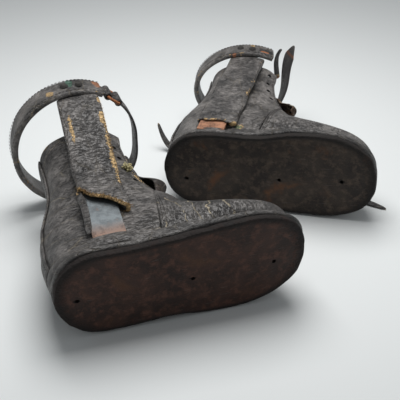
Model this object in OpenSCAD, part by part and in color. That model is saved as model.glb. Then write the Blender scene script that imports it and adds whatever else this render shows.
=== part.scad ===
// Pair of laced leather ankle-support boots with steel uprights and calf bands.
// Millimetres, +Z up. Both boots lie on their sides on the ground plane z = 0.
// Boot frame used by every sub-part: x to the toe, +y to the inner ankle, z up the leg.

/* [Which part] */
// One node's name, or all

/* [Sole] */
// Overall length of the outsole
sole_length = 165; // [120:1:300]
// Half width of the outsole at the heel
heel_half = 32.4; // [20:0.1:60]
// Half width of the outsole at the ball of the foot
ball_half = 36; // [24:0.1:64]
// How far the waist is cut in on the inner side
waist_in = 3.8; // [0:0.1:10]
// How far toe and heel sweep to the outer side
outer_sweep = 4; // [0:0.1:10]
// Thickness of the outsole
outsole_t = 5; // [3:0.1:12]
// Thickness of the welt layer
welt_t = 4; // [2:0.1:8]
// Radius of the screw holes in the outsole
hole_r = 1.25; // [0.8:0.05:2.5]
// Holes of the right sole, as shares of its length
right_holes = [0.085, 0.535, 0.87];
// How far the right sole's holes sit to the inner side
right_hole_side = [1, 1, 4];
// Holes of the left sole, as shares of its length
left_holes = [0.11, 0.555, 0.845];
// How far the left sole's holes sit to the inner side
left_hole_side = [-7, -5.5, -2];

/* [Upper] */
// Height of the right shaft's top edge above the ground side of the sole
right_shaft_top = 149; // [90:1:200]
// Height of the left shaft's top edge above the ground side of the sole
left_shaft_top = 138; // [90:1:200]
// Leather thickness of vamp and quarters
leather_t = 2; // [1.2:0.1:4]
// Height where the vamp ends and the front gap begins
throat_z = 80; // [60:1:110]
// Height of the leather rand above the welt
rand_top = 18; // [12:0.5:30]
// Radius of a lace hole
lace_r = 1.7; // [1:0.1:3]

/* [Steel uprights] */
// Width of the flat steel upright
bar_w = 21; // [12:0.5:32]
// Thickness of the flat steel upright
bar_t = 2.5; // [1.5:0.1:4]
// Place of the right boot's upright along the sole
right_bar_x = 41; // [30:0.5:60]
// Place of the left boot's upright along the sole
left_bar_x = 37; // [30:0.5:60]
// Forward lean of the right uprights in degrees
right_lean = 2; // [0:0.1:8]
// Forward lean of the left uprights in degrees
left_lean = 2.7; // [0:0.1:8]
// Slack between steel and the leather around it
slack = 0.3; // [0.2:0.05:0.6]

/* [Calf bands] */
// Height of the right calf band's middle
right_band_z = 170; // [140:1:200]
// Height of the left calf band's middle
left_band_z = 152; // [140:1:200]
// Height of the leather cover of the band
cover_h = 20; // [12:0.5:30]
// Height of the steel band
core_h = 17; // [10:0.5:28]
// Thickness of the steel band
core_t = 1.6; // [1:0.1:3]
// Half length of the right band front to back
right_ra = 47.5; // [35:0.5:70]
// Half length of the left band front to back
left_ra = 46; // [35:0.5:70]
// Half width of the right band
right_rb = 48.8; // [30:0.5:70]
// Half width of the left band
left_rb = 36; // [30:0.5:70]
// How far the right band sits to the outer side
right_out = 4.4; // [-8:0.5:8]
// How far the left band sits to the outer side
left_out = 3.5; // [-8:0.5:8]
// Tilt of the right band in degrees, front edge up
right_tilt = 2; // [0:0.5:12]
// Tilt of the left band in degrees, front edge up
left_tilt = 7; // [0:0.5:12]
// Where the right calf band starts at the front, degrees round from the toe side
right_band_start = 40; // [36:1:70]
// Where the left calf band starts at the front, degrees round from the toe side
left_band_start = 57; // [36:1:70]
// Width of the closing straps
strap_w = 13; // [8:0.5:20]
// Thickness of the closing straps
strap_t = 2.2; // [1.4:0.1:4]

/* [Lie of the boots] */
// Turn of the right boot about the vertical, in degrees
right_turn = 17.5; // [-40:0.5:40]
// How far the right boot's leg side is lifted, in degrees
right_lift = 5.4; // [0:0.1:12]
// How far the right boot's toe is lifted, in degrees
right_pitch = 2.4; // [0:0.1:10]
// Turn of the left boot about the vertical, in degrees
left_turn = -11.5; // [-40:0.5:40]
// How far the left boot's leg side is lifted, in degrees
left_lift = 3.4; // [0:0.1:12]
// How far the left boot's toe is lifted, in degrees
left_pitch = 2.4; // [0:0.1:10]
// Heel place of the right boot
right_at = [-88.6, -175.4, 30.75];
// Heel place of the left boot
left_at = [-28.7, -3.2, 33.2];
// Shift that centres the pair on the frame's origin
row_shift = [-1.086, 12.504, -0.066];

/* [Hidden] */
floor_z = outsole_t + welt_t;
heel_part = 0.19;
toe_part = 0.30;
section_n = 72;
skin_gap = 0.35;
hinge_turn = -54;
keep_turn = -42;
cover_in = 2.2;
cover_out = 2.6;
wire_r = 1.1;
wire_bore = 1.5;
rivet_r = 1.45;
rivet_bore = 1.6;
left_strap_turn = 41;
ankle_pin = [26.5, 50.9, 0];
front_way = [[22, 51.5], [40, 50], [60, 44], [84, 34], [112, 16], [135, -4], [149, -15]];
rear_way = [[31, 48], [14, 58], [-2, 68], [-20, 80]];

function clamp01(t) = min(1, max(0, t));
function smooth(t) = clamp01(t) * clamp01(t) * (3 - 2 * clamp01(t));
function mix(a, b, t) = a + (b - a) * t;
function unit(v) = v / norm(v);
function flat(l) = [for (a = l) for (b = a) b];

// outline of the sole, by the share u of its length
function sole_base(u) = mix(heel_half, ball_half, smooth((u - 0.2) / 0.5));
function heel_round(u) = pow(max(0, 1 - pow((heel_part - u) / heel_part, 2.05)), 1 / 2.05);
function toe_round(u) = pow(max(0, 1 - pow((u - 1 + toe_part) / toe_part, 2.45)), 1 / 2.45);
function sole_end(u) = u < heel_part ? heel_round(u) : (u > 1 - toe_part ? toe_round(u) : 1);
function waist(u) = waist_in * exp(-pow((u - 0.45) / 0.14, 2));
function sole_half(u, inner) = (sole_base(u) - (inner ? waist(u) : 0)) * sole_end(u);
function sweep(u) = outer_sweep * pow(clamp01(abs(u - 0.5) / 0.5), 2);
function grown(h, g) = h * (ball_half + g) / ball_half;
function sole_pt(a, g) =
    let (u = (1 + cos(a)) / 2, inner = sin(a) > 0)
    [-g + u * (sole_length + 2 * g), (inner ? 1 : -1) * grown(sole_half(u, inner), g) - sweep(u)];
function sole_outline(g) = [for (i = [0:section_n - 1]) sole_pt(i * 360 / section_n, g)];

// the upper, by height: back line, front line, half width
function back_x(z) = lookup(z, [[9, 3], [20, 0], [35, -1], [50, 0], [70, 4], [100, 12], [120, 14], [138, 13]]);
function front_low(z) = lookup(z, [[9, 161], [20, 163.5], [30, 160], [38, 149], [46, 131], [54, 114]]);
function front_high(z) = lookup(z, [[54, 114], [62, 103], [72, 94], [85, 86], [100, 81], [120, 78], [138, 78]]);
function front_x(z) = z < 54 ? front_low(z) : front_high(z);
function full_w(z) = lookup(z, [[9, 29.5], [20, 31], [35, 30], [50, 27], [70, 24.5], [100, 25], [138, 27]]);
function upper_w(z) = full_w(z) - $slim * smooth((z - 70) / 50);
function round_share(z) = smooth((z - 9) / 45);
function oval(u) = pow(max(0, 1 - pow(abs(2 * u - 1), 2.3)), 1 / 2.3);
function plan(u, z, inner) = mix(sole_half(u, inner) / ball_half, oval(u), round_share(z));
// a runs from 0 at the toe over 90 on the inner side to 180 at the heel
function upper_pt(a, z, off) =
    let (u = (1 + cos(a)) / 2, inner = sin(a) > 0, w = upper_w(z) - off)
    let (x0 = back_x(z) + off, x1 = front_x(z) - off)
    [x0 + u * (x1 - x0), (inner ? 1 : -1) * w * plan(u, z, inner) - sweep(u) * (1 - round_share(z)), z];

// where the vamp meets the quarters, and the front gap above it
function seam_x(z) = mix(72, 84, (z - floor_z) / (throat_z - floor_z));
function seam_share(z) = clamp01((seam_x(z) - back_x(z)) / (front_x(z) - back_x(z)));
function seam_a(z) = acos(2 * seam_share(z) - 1);
function gap_a(z) = lookup(z, [[80, 24], [92, 28], [138, 34]]);
function edge_a(z) = z < throat_z ? max(seam_a(z), gap_a(throat_z)) : gap_a(z);
function steps(a, b, n) = [for (i = [0:n]) mix(a, b, i / n)];

// closed sheet from loops of k outer points followed by k inner points in reverse
module sheet(rows) {
    n = len(rows[0]);
    k = n / 2;
    m = len(rows);
    last = (m - 1) * n;
    sides = [for (i = [0:m - 2]) for (j = [0:n - 1]) let (a = i * n + j, b = i * n + (j + 1) % n)
        each [[a, b, b + n], [a, b + n, a + n]]];
    first_cap = [for (j = [0:k - 2]) each [[j, n - 1 - j, j + 1], [n - 1 - j, n - 2 - j, j + 1]]];
    end_cap = [for (j = [0:k - 2]) each [[last + j, last + j + 1, last + n - 1 - j],
        [last + n - 1 - j, last + j + 1, last + n - 2 - j]]];
    polyhedron(flat(rows), concat(sides, first_cap, end_cap));
}

// closed tube from rings of k outer points followed by k inner points
module tube(rows) {
    n = len(rows[0]);
    k = n / 2;
    m = len(rows);
    last = (m - 1) * n;
    outer = [for (i = [0:m - 2]) for (j = [0:k - 1]) let (a = i * n + j, b = i * n + (j + 1) % k)
        each [[a, b, b + n], [a, b + n, a + n]]];
    inner = [for (i = [0:m - 2]) for (j = [0:k - 1]) let (a = i * n + k + j, b = i * n + k + (j + 1) % k)
        each [[a, b + n, b], [a, a + n, b + n]]];
    low = [for (j = [0:k - 1]) let (b = (j + 1) % k) each [[j, k + j, b], [k + j, k + b, b]]];
    high = [for (j = [0:k - 1]) let (b = (j + 1) % k)
        each [[last + j, last + b, last + k + j], [last + k + j, last + b, last + k + b]]];
    polyhedron(flat(rows), concat(outer, inner, low, high));
}

module skin(zs, from, to, n, out, in, side) {
    rows = [for (z = zs) let (a = from(z), b = to(z)) concat(
        [for (i = [0:n]) upper_pt(side * mix(a, b, i / n), z, out)],
        [for (i = [n:-1:0]) upper_pt(side * mix(a, b, i / n), z, in)])];
    if (side > 0) sheet(rows);
    else sheet([for (i = [len(rows) - 1:-1:0]) rows[i]]);
}

module layer(z, t, g) {
    translate([0, 0, z]) linear_extrude(t) polygon(sole_outline(g));
}

module outsole(holes, side) {
    color("saddlebrown") difference() {
        layer(0, outsole_t, 0);
        for (i = [0:len(holes) - 1]) translate([holes[i] * sole_length, side[i] - sweep(holes[i]), -1])
            cylinder(r = hole_r, h = outsole_t + 2, $fn = 24);
    }
}

module welt() {
    color("dimgray") difference() {
        layer(outsole_t + 0.02, welt_t - 0.04, 0.8);
        layer(outsole_t - 1, welt_t + 2, -12);
    }
}

module insole(bar_x) {
    color("tan") difference() {
        layer(outsole_t + 0.3, floor_z - outsole_t + 5, -12.4);
        translate([bar_x - bar_w / 2 - slack, -50, floor_z + 0.02]) cube([bar_w + 2 * slack, 100, bar_t + slack + 0.3]);
    }
}

module bar_slots(bar_x) {
    translate([bar_x - bar_w / 2 - slack, -60, floor_z - 1]) cube([bar_w + 2 * slack, 120, bar_t + slack + 1.4]);
}

// the recess under a sleeve, so that the leather below lies flat against it
module sleeve_room(side, bar_x) {
    top_y = side > 0 ? $in_y : $out_y;
    upright_frame(bar_x, $lean)
        ribbon_x(bar_band(bar_path(8, $shaft_top + 5, top_y, $band_z), -bar_t / 2 - slack - 0.95, 9, side),
            -13.05, 18.05);
}

function rand_bulge(x, bar_x) = 4.4 * exp(-pow(abs(x - bar_x) / 15, 4));
function rand_pt(a, z, off, bar_x) =
    let (p = upper_pt(a, z, off))
    [p[0], p[1] + sign(sin(a)) * rand_bulge(p[0], bar_x) * clamp01(abs(sin(a)) * 3), z];

module rand(bar_x) {
    rows = [for (z = [floor_z + 0.05, mix(floor_z, rand_top, 0.5), rand_top]) concat(
        [for (i = [0:section_n - 1]) rand_pt(i * 360 / section_n, z, -2, bar_x)],
        [for (i = [0:section_n - 1]) rand_pt(i * 360 / section_n, z, -skin_gap, bar_x)])];
    color("dimgray") difference() {
        tube(rows);
        for (side = [-1, 1]) upright_frame(bar_x, $lean)
            ribbon_x(bar_band(bar_path(8, 26, 0, 200), -bar_t / 2 - slack, bar_t / 2 + slack, side),
                -bar_w / 2 - slack, bar_w / 2 + slack);
    }
}

module vamp() {
    zs = concat(steps(floor_z + 0.1, 54, 9), steps(58, throat_z - 1.5, 4));
    from = function (z) -seam_a(z) + 0.6;
    to = function (z) seam_a(z) - 0.6;
    color("dimgray") skin(zs, from, to, 28, 0, leather_t, 1);
}

module quarter(side, bar_x) {
    zs = concat(steps(floor_z + 0.1, throat_z, 8), steps(88, $shaft_top, 5));
    from = function (z) edge_a(z) + 0.4;
    to = function (z) 179.5;
    color("dimgray") difference() {
        skin(zs, from, to, 18, 0, leather_t, side);
        bar_slots(bar_x);
        sleeve_room(side, bar_x);
        for (z = [90:13:129]) lace_axis(side, z) cylinder(r = lace_r, h = 12, center = true, $fn = 16);
    }
}

function skin_turn(a, z) = atan2(sin(a) / upper_w(z), 2 * cos(a) / (front_x(z) - back_x(z)));

module lace_axis(side, z) {
    a = gap_a(z) + 15;
    translate(upper_pt(side * a, z, 0)) rotate([0, 90, side * skin_turn(a, z)]) children();
}

module eyelets() {
    color("goldenrod") for (side = [-1, 1]) lace_axis(side, 103) difference() {
        union() {
            translate([0, 0, -2.6]) cylinder(r = lace_r - 0.2, h = 3.4, $fn = 24);
            translate([0, 0, 0.45]) cylinder(r = 3.2, h = 0.8, $fn = 24);
        }
        cylinder(r = 0.8, h = 12, center = true, $fn = 24);
    }
}

module backstay() {
    zs = steps(rand_top + 0.5, $shaft_top - 1, 8);
    from = function (z) 166;
    to = function (z) 194;
    color("dimgray") skin(zs, from, to, 6, -1.6, -skin_gap, 1);
}

module tongue(top) {
    zs = steps(throat_z + 0.5, top, 6);
    from = function (z) -gap_a(z) + 5;
    to = function (z) gap_a(z) - 5;
    color("sienna") skin(zs, from, to, 8, -0.6, 1.2, 1);
}

// uprights: distance of the steel's middle from the foot's middle plane, by height
function bar_y(z, top_y, top_z) = z < 85 ? lookup(z, [[10, 29.8], [32, 29.8], [60, 28.7], [85, 29]])
    : mix(29, top_y, smooth((z - 85) / (top_z - 12 - 85)));
function bar_path(z0, z1, top_y, top_z) = [for (z = steps(z0, z1, 12)) [bar_y(z, top_y, top_z), z]];
function bar_band(path, low, high, side) = concat([for (p = path) [side * (p[0] + low), p[1]]],
    [for (i = [len(path) - 1:-1:0]) [side * (path[i][0] + high), path[i][1]]]);

module upright_frame(bar_x, lean) {
    translate([bar_x, 0, 10.6]) rotate([0, lean, 0]) translate([0, 0, -10.6]) children();
}

module ribbon_x(pts, x0, x1) {
    translate([x0, 0, 0]) rotate([90, 0, 90]) linear_extrude(x1 - x0) polygon(pts);
}

module arm(side, bar_x, lean, top_y, top_z) {
    upright_frame(bar_x, lean)
        ribbon_x(bar_band(bar_path(10.6, top_z + 7.5, top_y, top_z), -bar_t / 2, bar_t / 2, side),
            -bar_w / 2, bar_w / 2);
}

module stirrup(bar_x, lean, in_y, out_y, top_z) {
    color("slategray") difference() {
        union() {
            translate([bar_x - bar_w / 2, -29.8 - bar_t / 2, floor_z + 0.3]) cube([bar_w, 59.6 + bar_t, bar_t]);
            arm(1, bar_x, lean, in_y, top_z);
            arm(-1, bar_x, lean, out_y, top_z);
        }
        rivet_axes(bar_x, lean, top_z) cylinder(r = rivet_bore, h = 140, center = true, $fn = 24);
    }
}

module rivet_axes(bar_x, lean, top_z) {
    for (dx = [-5.5, 5.5]) upright_frame(bar_x, lean) translate([dx, 0, top_z]) rotate([90, 0, 0]) children();
}

module sleeve(side, bar_x, lean, top_y, top_z, cut_z, cut_turn) {
    color("dimgray") difference() {
        upright_frame(bar_x, lean)
            ribbon_x(bar_band(bar_path(20, top_z - cover_h / 2 - 2.5, top_y, top_z), -bar_t / 2 - slack - 0.9,
                bar_t / 2 + slack + 1.5, side), -13, 18);
        upright_frame(bar_x, lean)
            ribbon_x(bar_band(bar_path(12, top_z + 5, top_y, top_z), -bar_t / 2 - slack, bar_t / 2 + slack, side),
                -bar_w / 2 - slack, bar_w / 2 + slack);
        translate([bar_x + 2, 0, cut_z]) rotate([0, cut_turn, 0]) translate([-60, -80, -80]) cube([120, 160, 80]);
    }
}

// calf band: points of its middle line, t in degrees, 0 at the front, negative on the outer side
function band_n(t, rb) = unit([cos(t) * rb, sin(t) * $ra]);
function band_pt(t, rb, off) = [$ra * cos(t), rb * sin(t)] + off * band_n(t, rb);
function band_ribbon(t0, t1, rb, low, high, n) = concat(
    [for (t = steps(t0, t1, n)) band_pt(t, rb, low)],
    [for (t = steps(t1, t0, n)) band_pt(t, rb, high)]);

module band_frame(bar_x, lean, out, top_z, tilt) {
    translate([bar_x + tan(lean) * (top_z - 10.6) - $back, -out, top_z]) rotate([0, -tilt, 0]) children();
}

module upright_slab(pts, h) {
    linear_extrude(h, center = true) polygon(pts);
}

module calf_band(bar_x, lean, out, top_z, tilt, rb) {
    color("slategray") difference() {
        band_frame(bar_x, lean, out, top_z, tilt)
            upright_slab(band_ribbon($band_start + 6, 296, rb, -core_t / 2, core_t / 2, 44), core_h);
        rivet_axes(bar_x, lean, top_z) cylinder(r = rivet_bore, h = 140, center = true, $fn = 24);
    }
}

module band_cover(bar_x, lean, out, top_z, tilt, rb) {
    h = band_pt(hinge_turn, rb, 0);
    color("dimgray") difference() {
        band_frame(bar_x, lean, out, top_z, tilt) difference() {
            union() {
                upright_slab(band_ribbon($band_start, 300, rb, -cover_in, cover_out, 48), cover_h);
                upright_slab(band_ribbon(295, 304.5, rb, -1.6, 1.6, 4), 12);
                translate(h) cylinder(r = 3.2, h = 12, center = true, $fn = 32);
            }
            upright_slab(band_ribbon($band_start + 4, 297, rb, -core_t / 2 - slack, core_t / 2 + slack, 48),
                core_h + 2 * slack);
            translate(h) cylinder(r = wire_bore, h = 40, center = true, $fn = 32);
        }
        rivet_axes(bar_x, lean, top_z) cylinder(r = rivet_bore, h = 140, center = true, $fn = 24);
    }
}

module band_rivet(y_in, y_out) {
    translate([0, 0, y_in]) cylinder(r = rivet_r, h = y_out - y_in, $fn = 24);
    translate([0, 0, y_out]) cylinder(r1 = 3, r2 = 1.8, h = 1.3, $fn = 24);
    translate([0, 0, y_in - 1]) cylinder(r1 = 1.8, r2 = 2.6, h = 1, $fn = 24);
}

module band_rivets(bar_x, lean, top_z, in_y, out_y, rb, out) {
    color("peru") {
        for (dx = [-5.5, 5.5]) upright_frame(bar_x, lean) translate([dx, 0, top_z]) {
            rotate([-90, 0, 0]) band_rivet(in_y - bar_t / 2 - 0.1, rb - out + cover_out + 0.1);
            rotate([90, 0, 0]) band_rivet(out_y - bar_t / 2 - 0.1, rb + out + cover_out + 0.1);
        }
    }
}

module wire_loop(bar_x, lean, out, top_z, tilt, rb, turn) {
    a = band_pt(hinge_turn, rb, 0);
    b = band_pt(keep_turn, rb, 0);
    d = b - a;
    color("chocolate") band_frame(bar_x, lean, out, top_z, tilt)
        translate(a) rotate([0, 0, turn]) {
            cylinder(r = wire_r, h = 2 * 8.4, center = true, $fn = 24);
            translate(d) cylinder(r = wire_r, h = 2 * 8.4, center = true, $fn = 24);
            for (s = [-1, 1]) rotate([0, 0, atan2(d[1], d[0])]) translate([0, -0.8, s * 8.2 - 1])
                cube([norm(d), 1.6, 2]);
        }
}

function strap_off(t) = mix(0, cover_out + 0.45 + strap_t / 2, smooth((t - 2) / 34));

module strap_knuckle() {
    cylinder(r = wire_bore + 1.5, h = strap_w, center = true, $fn = 32);
}

module right_strap_body(rb) {
    b = band_pt(keep_turn, rb, 0);
    ts = steps(keep_turn + 2, 64, 30);
    pts = concat([for (t = ts) band_pt(t, rb, strap_off(t) - strap_t / 2)],
        [for (i = [len(ts) - 1:-1:0]) band_pt(ts[i], rb, strap_off(ts[i]) + strap_t / 2)]);
    difference() {
        union() {
            upright_slab(pts, strap_w);
            translate(b) strap_knuckle();
        }
        translate(b) cylinder(r = wire_bore, h = 40, center = true, $fn = 32);
    }
}

module left_strap_body(rb) {
    a = band_pt(hinge_turn, rb, 0);
    b = band_pt(keep_turn, rb, 0);
    difference() {
        translate(b) rotate([0, 0, atan2(b[1] - a[1], b[0] - a[0])]) union() {
            strap_knuckle();
            translate([1.8, -strap_t / 2, -strap_w / 2]) cube([54, strap_t, strap_w]);
            translate([55.8, strap_t / 2, 0]) rotate([90, 0, 0])
                linear_extrude(strap_t) polygon([[-1, -strap_w / 2], [5, -2.5], [7, 0], [5, 2.5], [-1, strap_w / 2]]);
        }
        translate(b) cylinder(r = wire_bore, h = 40, center = true, $fn = 32);
    }
}

module place_right() {
    $slim = 0;
    $back = 2;
    $ra = right_ra;
    $band_start = right_band_start;
    $shaft_top = right_shaft_top;
    $lean = right_lean;
    $band_z = right_band_z;
    $in_y = right_in_y;
    $out_y = right_out_y;
    translate(row_shift + right_at) rotate([0, 0, right_turn]) rotate([right_lift, 0, 0]) rotate([0, -right_pitch, 0])
        rotate([-90, 0, 0]) children();
}

module place_left() {
    $slim = 2.6;
    $back = 1;
    $ra = left_ra;
    $band_start = left_band_start;
    $shaft_top = left_shaft_top;
    $lean = left_lean;
    $band_z = left_band_z;
    $in_y = left_in_y;
    $out_y = left_out_y;
    translate(row_shift + left_at) rotate([0, 0, left_turn]) rotate([left_lift, 0, 0]) rotate([0, -left_pitch, 0])
        rotate([-90, 0, 0]) mirror([0, 1, 0]) children();
}

// ankle strap of the left boot, lying on the ground plane
function way_side(pts, i) = let (d = unit(pts[min(i + 1, len(pts) - 1)] - pts[max(i - 1, 0)])) [-d[1], d[0]];
function way_ribbon(pts, w) = concat([for (i = [0:len(pts) - 1]) pts[i] + way_side(pts, i) * w[i] / 2],
    [for (i = [len(pts) - 1:-1:0]) pts[i] - way_side(pts, i) * w[i] / 2]);

module ankle_front() {
    color("black") difference() {
        translate([0, 0, 0.1]) linear_extrude(1.5) polygon(way_ribbon(front_way, [9, 9, 9, 9, 8, 7, 2.5]));
        translate(ankle_pin) cylinder(r = 1.8, h = 20, center = true, $fn = 32);
    }
}

module ankle_rear() {
    w = rear_way;
    n = len(w) - 1;
    d = w[n] - w[n - 1];
    color("black") difference() {
        union() {
            translate([0, 0, 2]) linear_extrude(1.5) polygon(way_ribbon(w, [9, 9, 9, 9]));
            translate(w[n]) rotate([90, 0, atan2(d[1], d[0])]) linear_extrude(9, center = true)
                polygon([[-2, 2.05], [4, 2.6], [10, 5], [15, 10], [19, 17], [22, 25],
                    [20.8, 25.6], [17.6, 17.6], [13.8, 11], [9.2, 6.4], [3.6, 4.1], [-2, 3.45]]);
        }
        translate(ankle_pin) cylinder(r = 1.8, h = 20, center = true, $fn = 32);
    }
}

module ankle_rivet() {
    color("peru") translate(ankle_pin) {
        translate([0, 0, 0.3]) cylinder(r = 1.5, h = 6.55, $fn = 24);
        translate([0, 0, 3.9]) cylinder(r = 3.4, h = 0.9, $fn = 24);
    }
}

module short_tab() {
    ts = steps(0, 1, 10);
    function curl(t) = [28 - 2.4 * t + 6.4 * pow(t, 4), 6 + 27 * t];
    color("black") left_band() translate([0, 0, 9.4]) upright_slab(concat([for (t = ts) curl(t)],
        [for (i = [10:-1:0]) curl(ts[i]) + [1.3, 0.1]]), 5);
}

right_in_y = right_rb - right_out - 5.2;
right_out_y = right_rb + right_out - 5.2;
left_in_y = left_rb - left_out - 5.2;
left_out_y = left_rb + left_out - 5.2;

module right_band() band_frame(right_bar_x, right_lean, right_out, right_band_z, right_tilt) children();
module left_band() band_frame(left_bar_x, left_lean, left_out, left_band_z, left_tilt) children();

module right_outsole() place_right() outsole(right_holes, right_hole_side);
module right_welt() place_right() welt();
module right_insole() place_right() insole(right_bar_x);
module right_rand() place_right() rand(right_bar_x);
module right_vamp() place_right() vamp();
module right_quarter_outer() place_right() quarter(-1, right_bar_x);
module right_quarter_inner() place_right() quarter(1, right_bar_x);
module right_backstay() place_right() backstay();
module right_tongue() place_right() tongue(126);
module right_eyelets() place_right() eyelets();
module right_stirrup() place_right() stirrup(right_bar_x, right_lean, right_in_y, right_out_y, right_band_z);
module right_sleeve_outer() place_right()
    sleeve(-1, right_bar_x, right_lean, right_out_y, right_band_z, 57, 36);
module right_sleeve_inner() place_right()
    sleeve(1, right_bar_x, right_lean, right_in_y, right_band_z, 24, 0);
module right_calf_band() place_right()
    calf_band(right_bar_x, right_lean, right_out, right_band_z, right_tilt, right_rb);
module right_band_cover() place_right()
    band_cover(right_bar_x, right_lean, right_out, right_band_z, right_tilt, right_rb);
module right_band_rivets() place_right()
    band_rivets(right_bar_x, right_lean, right_band_z, right_in_y, right_out_y, right_rb, right_out);
module right_loop() place_right()
    wire_loop(right_bar_x, right_lean, right_out, right_band_z, right_tilt, right_rb, 0);
module right_closing_strap() place_right() color("black") right_band() right_strap_body(right_rb);

module left_outsole() place_left() outsole(left_holes, left_hole_side);
module left_welt() place_left() welt();
module left_insole() place_left() insole(left_bar_x);
module left_rand() place_left() rand(left_bar_x);
module left_vamp() place_left() vamp();
module left_quarter_outer() place_left() quarter(-1, left_bar_x);
module left_quarter_inner() place_left() quarter(1, left_bar_x);
module left_backstay() place_left() backstay();
module left_tongue() place_left() tongue(104);
module left_stirrup() place_left() stirrup(left_bar_x, left_lean, left_in_y, left_out_y, left_band_z);
module left_sleeve_outer() place_left()
    sleeve(-1, left_bar_x, left_lean, left_out_y, left_band_z, 22, 0);
module left_sleeve_inner() place_left()
    sleeve(1, left_bar_x, left_lean, left_in_y, left_band_z, 22, 0);
module left_calf_band() place_left()
    calf_band(left_bar_x, left_lean, left_out, left_band_z, left_tilt, left_rb);
module left_band_cover() place_left()
    band_cover(left_bar_x, left_lean, left_out, left_band_z, left_tilt, left_rb);
module left_band_rivets() place_left()
    band_rivets(left_bar_x, left_lean, left_band_z, left_in_y, left_out_y, left_rb, left_out);
module left_loop() place_left()
    wire_loop(left_bar_x, left_lean, left_out, left_band_z, left_tilt, left_rb, left_strap_turn);
module left_closing_strap() place_left() color("black") left_band()
    translate(band_pt(hinge_turn, left_rb, 0)) rotate([0, 0, left_strap_turn])
        translate(-band_pt(hinge_turn, left_rb, 0)) left_strap_body(left_rb);
module left_short_tab() place_left() short_tab();
module left_ankle_strap_front() translate(row_shift) ankle_front();
module left_ankle_strap_rear() translate(row_shift) ankle_rear();
module left_ankle_rivet() translate(row_shift) ankle_rivet();

right_outsole();
right_welt();
right_insole();
right_rand();
right_vamp();
right_quarter_outer();
right_quarter_inner();
right_backstay();
right_tongue();
right_eyelets();
right_stirrup();
right_sleeve_outer();
right_sleeve_inner();
right_calf_band();
right_band_cover();
right_band_rivets();
right_loop();
right_closing_strap();
left_outsole();
left_welt();
left_insole();
left_rand();
left_vamp();
left_quarter_outer();
left_quarter_inner();
left_backstay();
left_tongue();
left_stirrup();
left_sleeve_outer();
left_sleeve_inner();
left_calf_band();
left_band_cover();
left_band_rivets();
left_loop();
left_closing_strap();
left_short_tab();
left_ankle_strap_front();
left_ankle_strap_rear();
left_ankle_rivet();
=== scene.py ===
"""Finished pieces for a pair of laced leather boots with steel uprights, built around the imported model."""
import math

import bpy
import numpy as np
from mathutils import Matrix, Vector


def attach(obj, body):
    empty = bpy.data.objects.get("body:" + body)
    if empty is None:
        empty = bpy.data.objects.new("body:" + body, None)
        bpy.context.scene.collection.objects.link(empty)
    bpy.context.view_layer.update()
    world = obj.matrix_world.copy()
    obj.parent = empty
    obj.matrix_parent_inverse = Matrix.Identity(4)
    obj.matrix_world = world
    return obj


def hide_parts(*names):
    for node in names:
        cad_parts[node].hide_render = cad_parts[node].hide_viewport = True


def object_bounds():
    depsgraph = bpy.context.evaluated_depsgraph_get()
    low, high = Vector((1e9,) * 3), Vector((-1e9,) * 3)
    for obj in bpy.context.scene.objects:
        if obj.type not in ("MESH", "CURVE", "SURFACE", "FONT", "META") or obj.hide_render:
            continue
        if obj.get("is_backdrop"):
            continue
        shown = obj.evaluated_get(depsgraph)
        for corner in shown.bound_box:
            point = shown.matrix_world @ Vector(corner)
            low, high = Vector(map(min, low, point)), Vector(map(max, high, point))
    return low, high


bl_info = {
    "name": "Braced Leather Boots",
    "version": (1, 0, 0),
    "blender": (4, 5, 0),
    "location": "View3D > Sidebar > Boots",
    "description": "Makes the leather, steel, thread and frayed edges of a pair of braced ankle boots",
    "category": "Add Mesh",
}

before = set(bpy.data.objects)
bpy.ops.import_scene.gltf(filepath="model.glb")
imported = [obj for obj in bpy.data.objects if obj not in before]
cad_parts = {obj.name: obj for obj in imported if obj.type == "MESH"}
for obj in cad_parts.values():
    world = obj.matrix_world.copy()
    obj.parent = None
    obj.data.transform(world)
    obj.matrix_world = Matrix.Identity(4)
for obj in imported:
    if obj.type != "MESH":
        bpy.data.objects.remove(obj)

# The boots' driving sizes, in millimetres, and turns, in degrees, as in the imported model
SOLE_L, HEEL_HALF, BALL_HALF, WAIST_IN, SWEEP = 165.0, 32.4, 36.0, 3.8, 4.0
SOLE_MIDDLE = np.array((SOLE_L / 2, 0.0, 0.0))
FLOOR_Z, THROAT_Z = 9.0, 80.0
LEATHER_T = 1.9
HINGE_TURN, KEEP_TURN, LEFT_STRAP_TURN = -54.0, -42.0, 41.0
EYELET_HEIGHTS = (90.0, 103.0, 116.0, 129.0)
EYELET_INSET = 15
# Height and slant of a sleeve's lower end: the torn one, the right boot's whole one, where the seams of all
# whole sleeves begin too, and the left boot's two
TORN_CUT, WHOLE_CUT, LEFT_CUT = (57, 36), (24, 0), (22, 0)
# Points around a sleeve and along it
SLEEVE_AROUND, SLEEVE_ALONG = 96, 130
# Lines of the back, the front, the half width and the throat's gap, each by height
BACK_LINE = ((9, 3), (20, 0), (35, -1), (50, 0), (70, 4), (100, 12), (120, 14), (138, 13))
FRONT_LINE = ((9, 161), (20, 163.5), (30, 160), (38, 149), (46, 131), (54, 114), (62, 103), (72, 94),
              (85, 86), (100, 81), (120, 78), (138, 78))
HALF_WIDTH = ((9, 29.5), (20, 31), (35, 30), (50, 27), (70, 24.5), (100, 25), (138, 27))
GAP_LINE = ((80, 24), (92, 28), (138, 34))
ROW_SHIFT = np.array((-1.086, 12.504, -0.066))


# ---------------------------------------------------------------- small maths
def clamp01(t):
    return np.clip(t, 0.0, 1.0)


def smooth(t):
    t = clamp01(t)
    return t * t * (3 - 2 * t)


def mix(a, b, t):
    return a + (b - a) * t


def bell(x, middle, width):
    return np.exp(-((x - middle) / width) ** 2)


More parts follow.
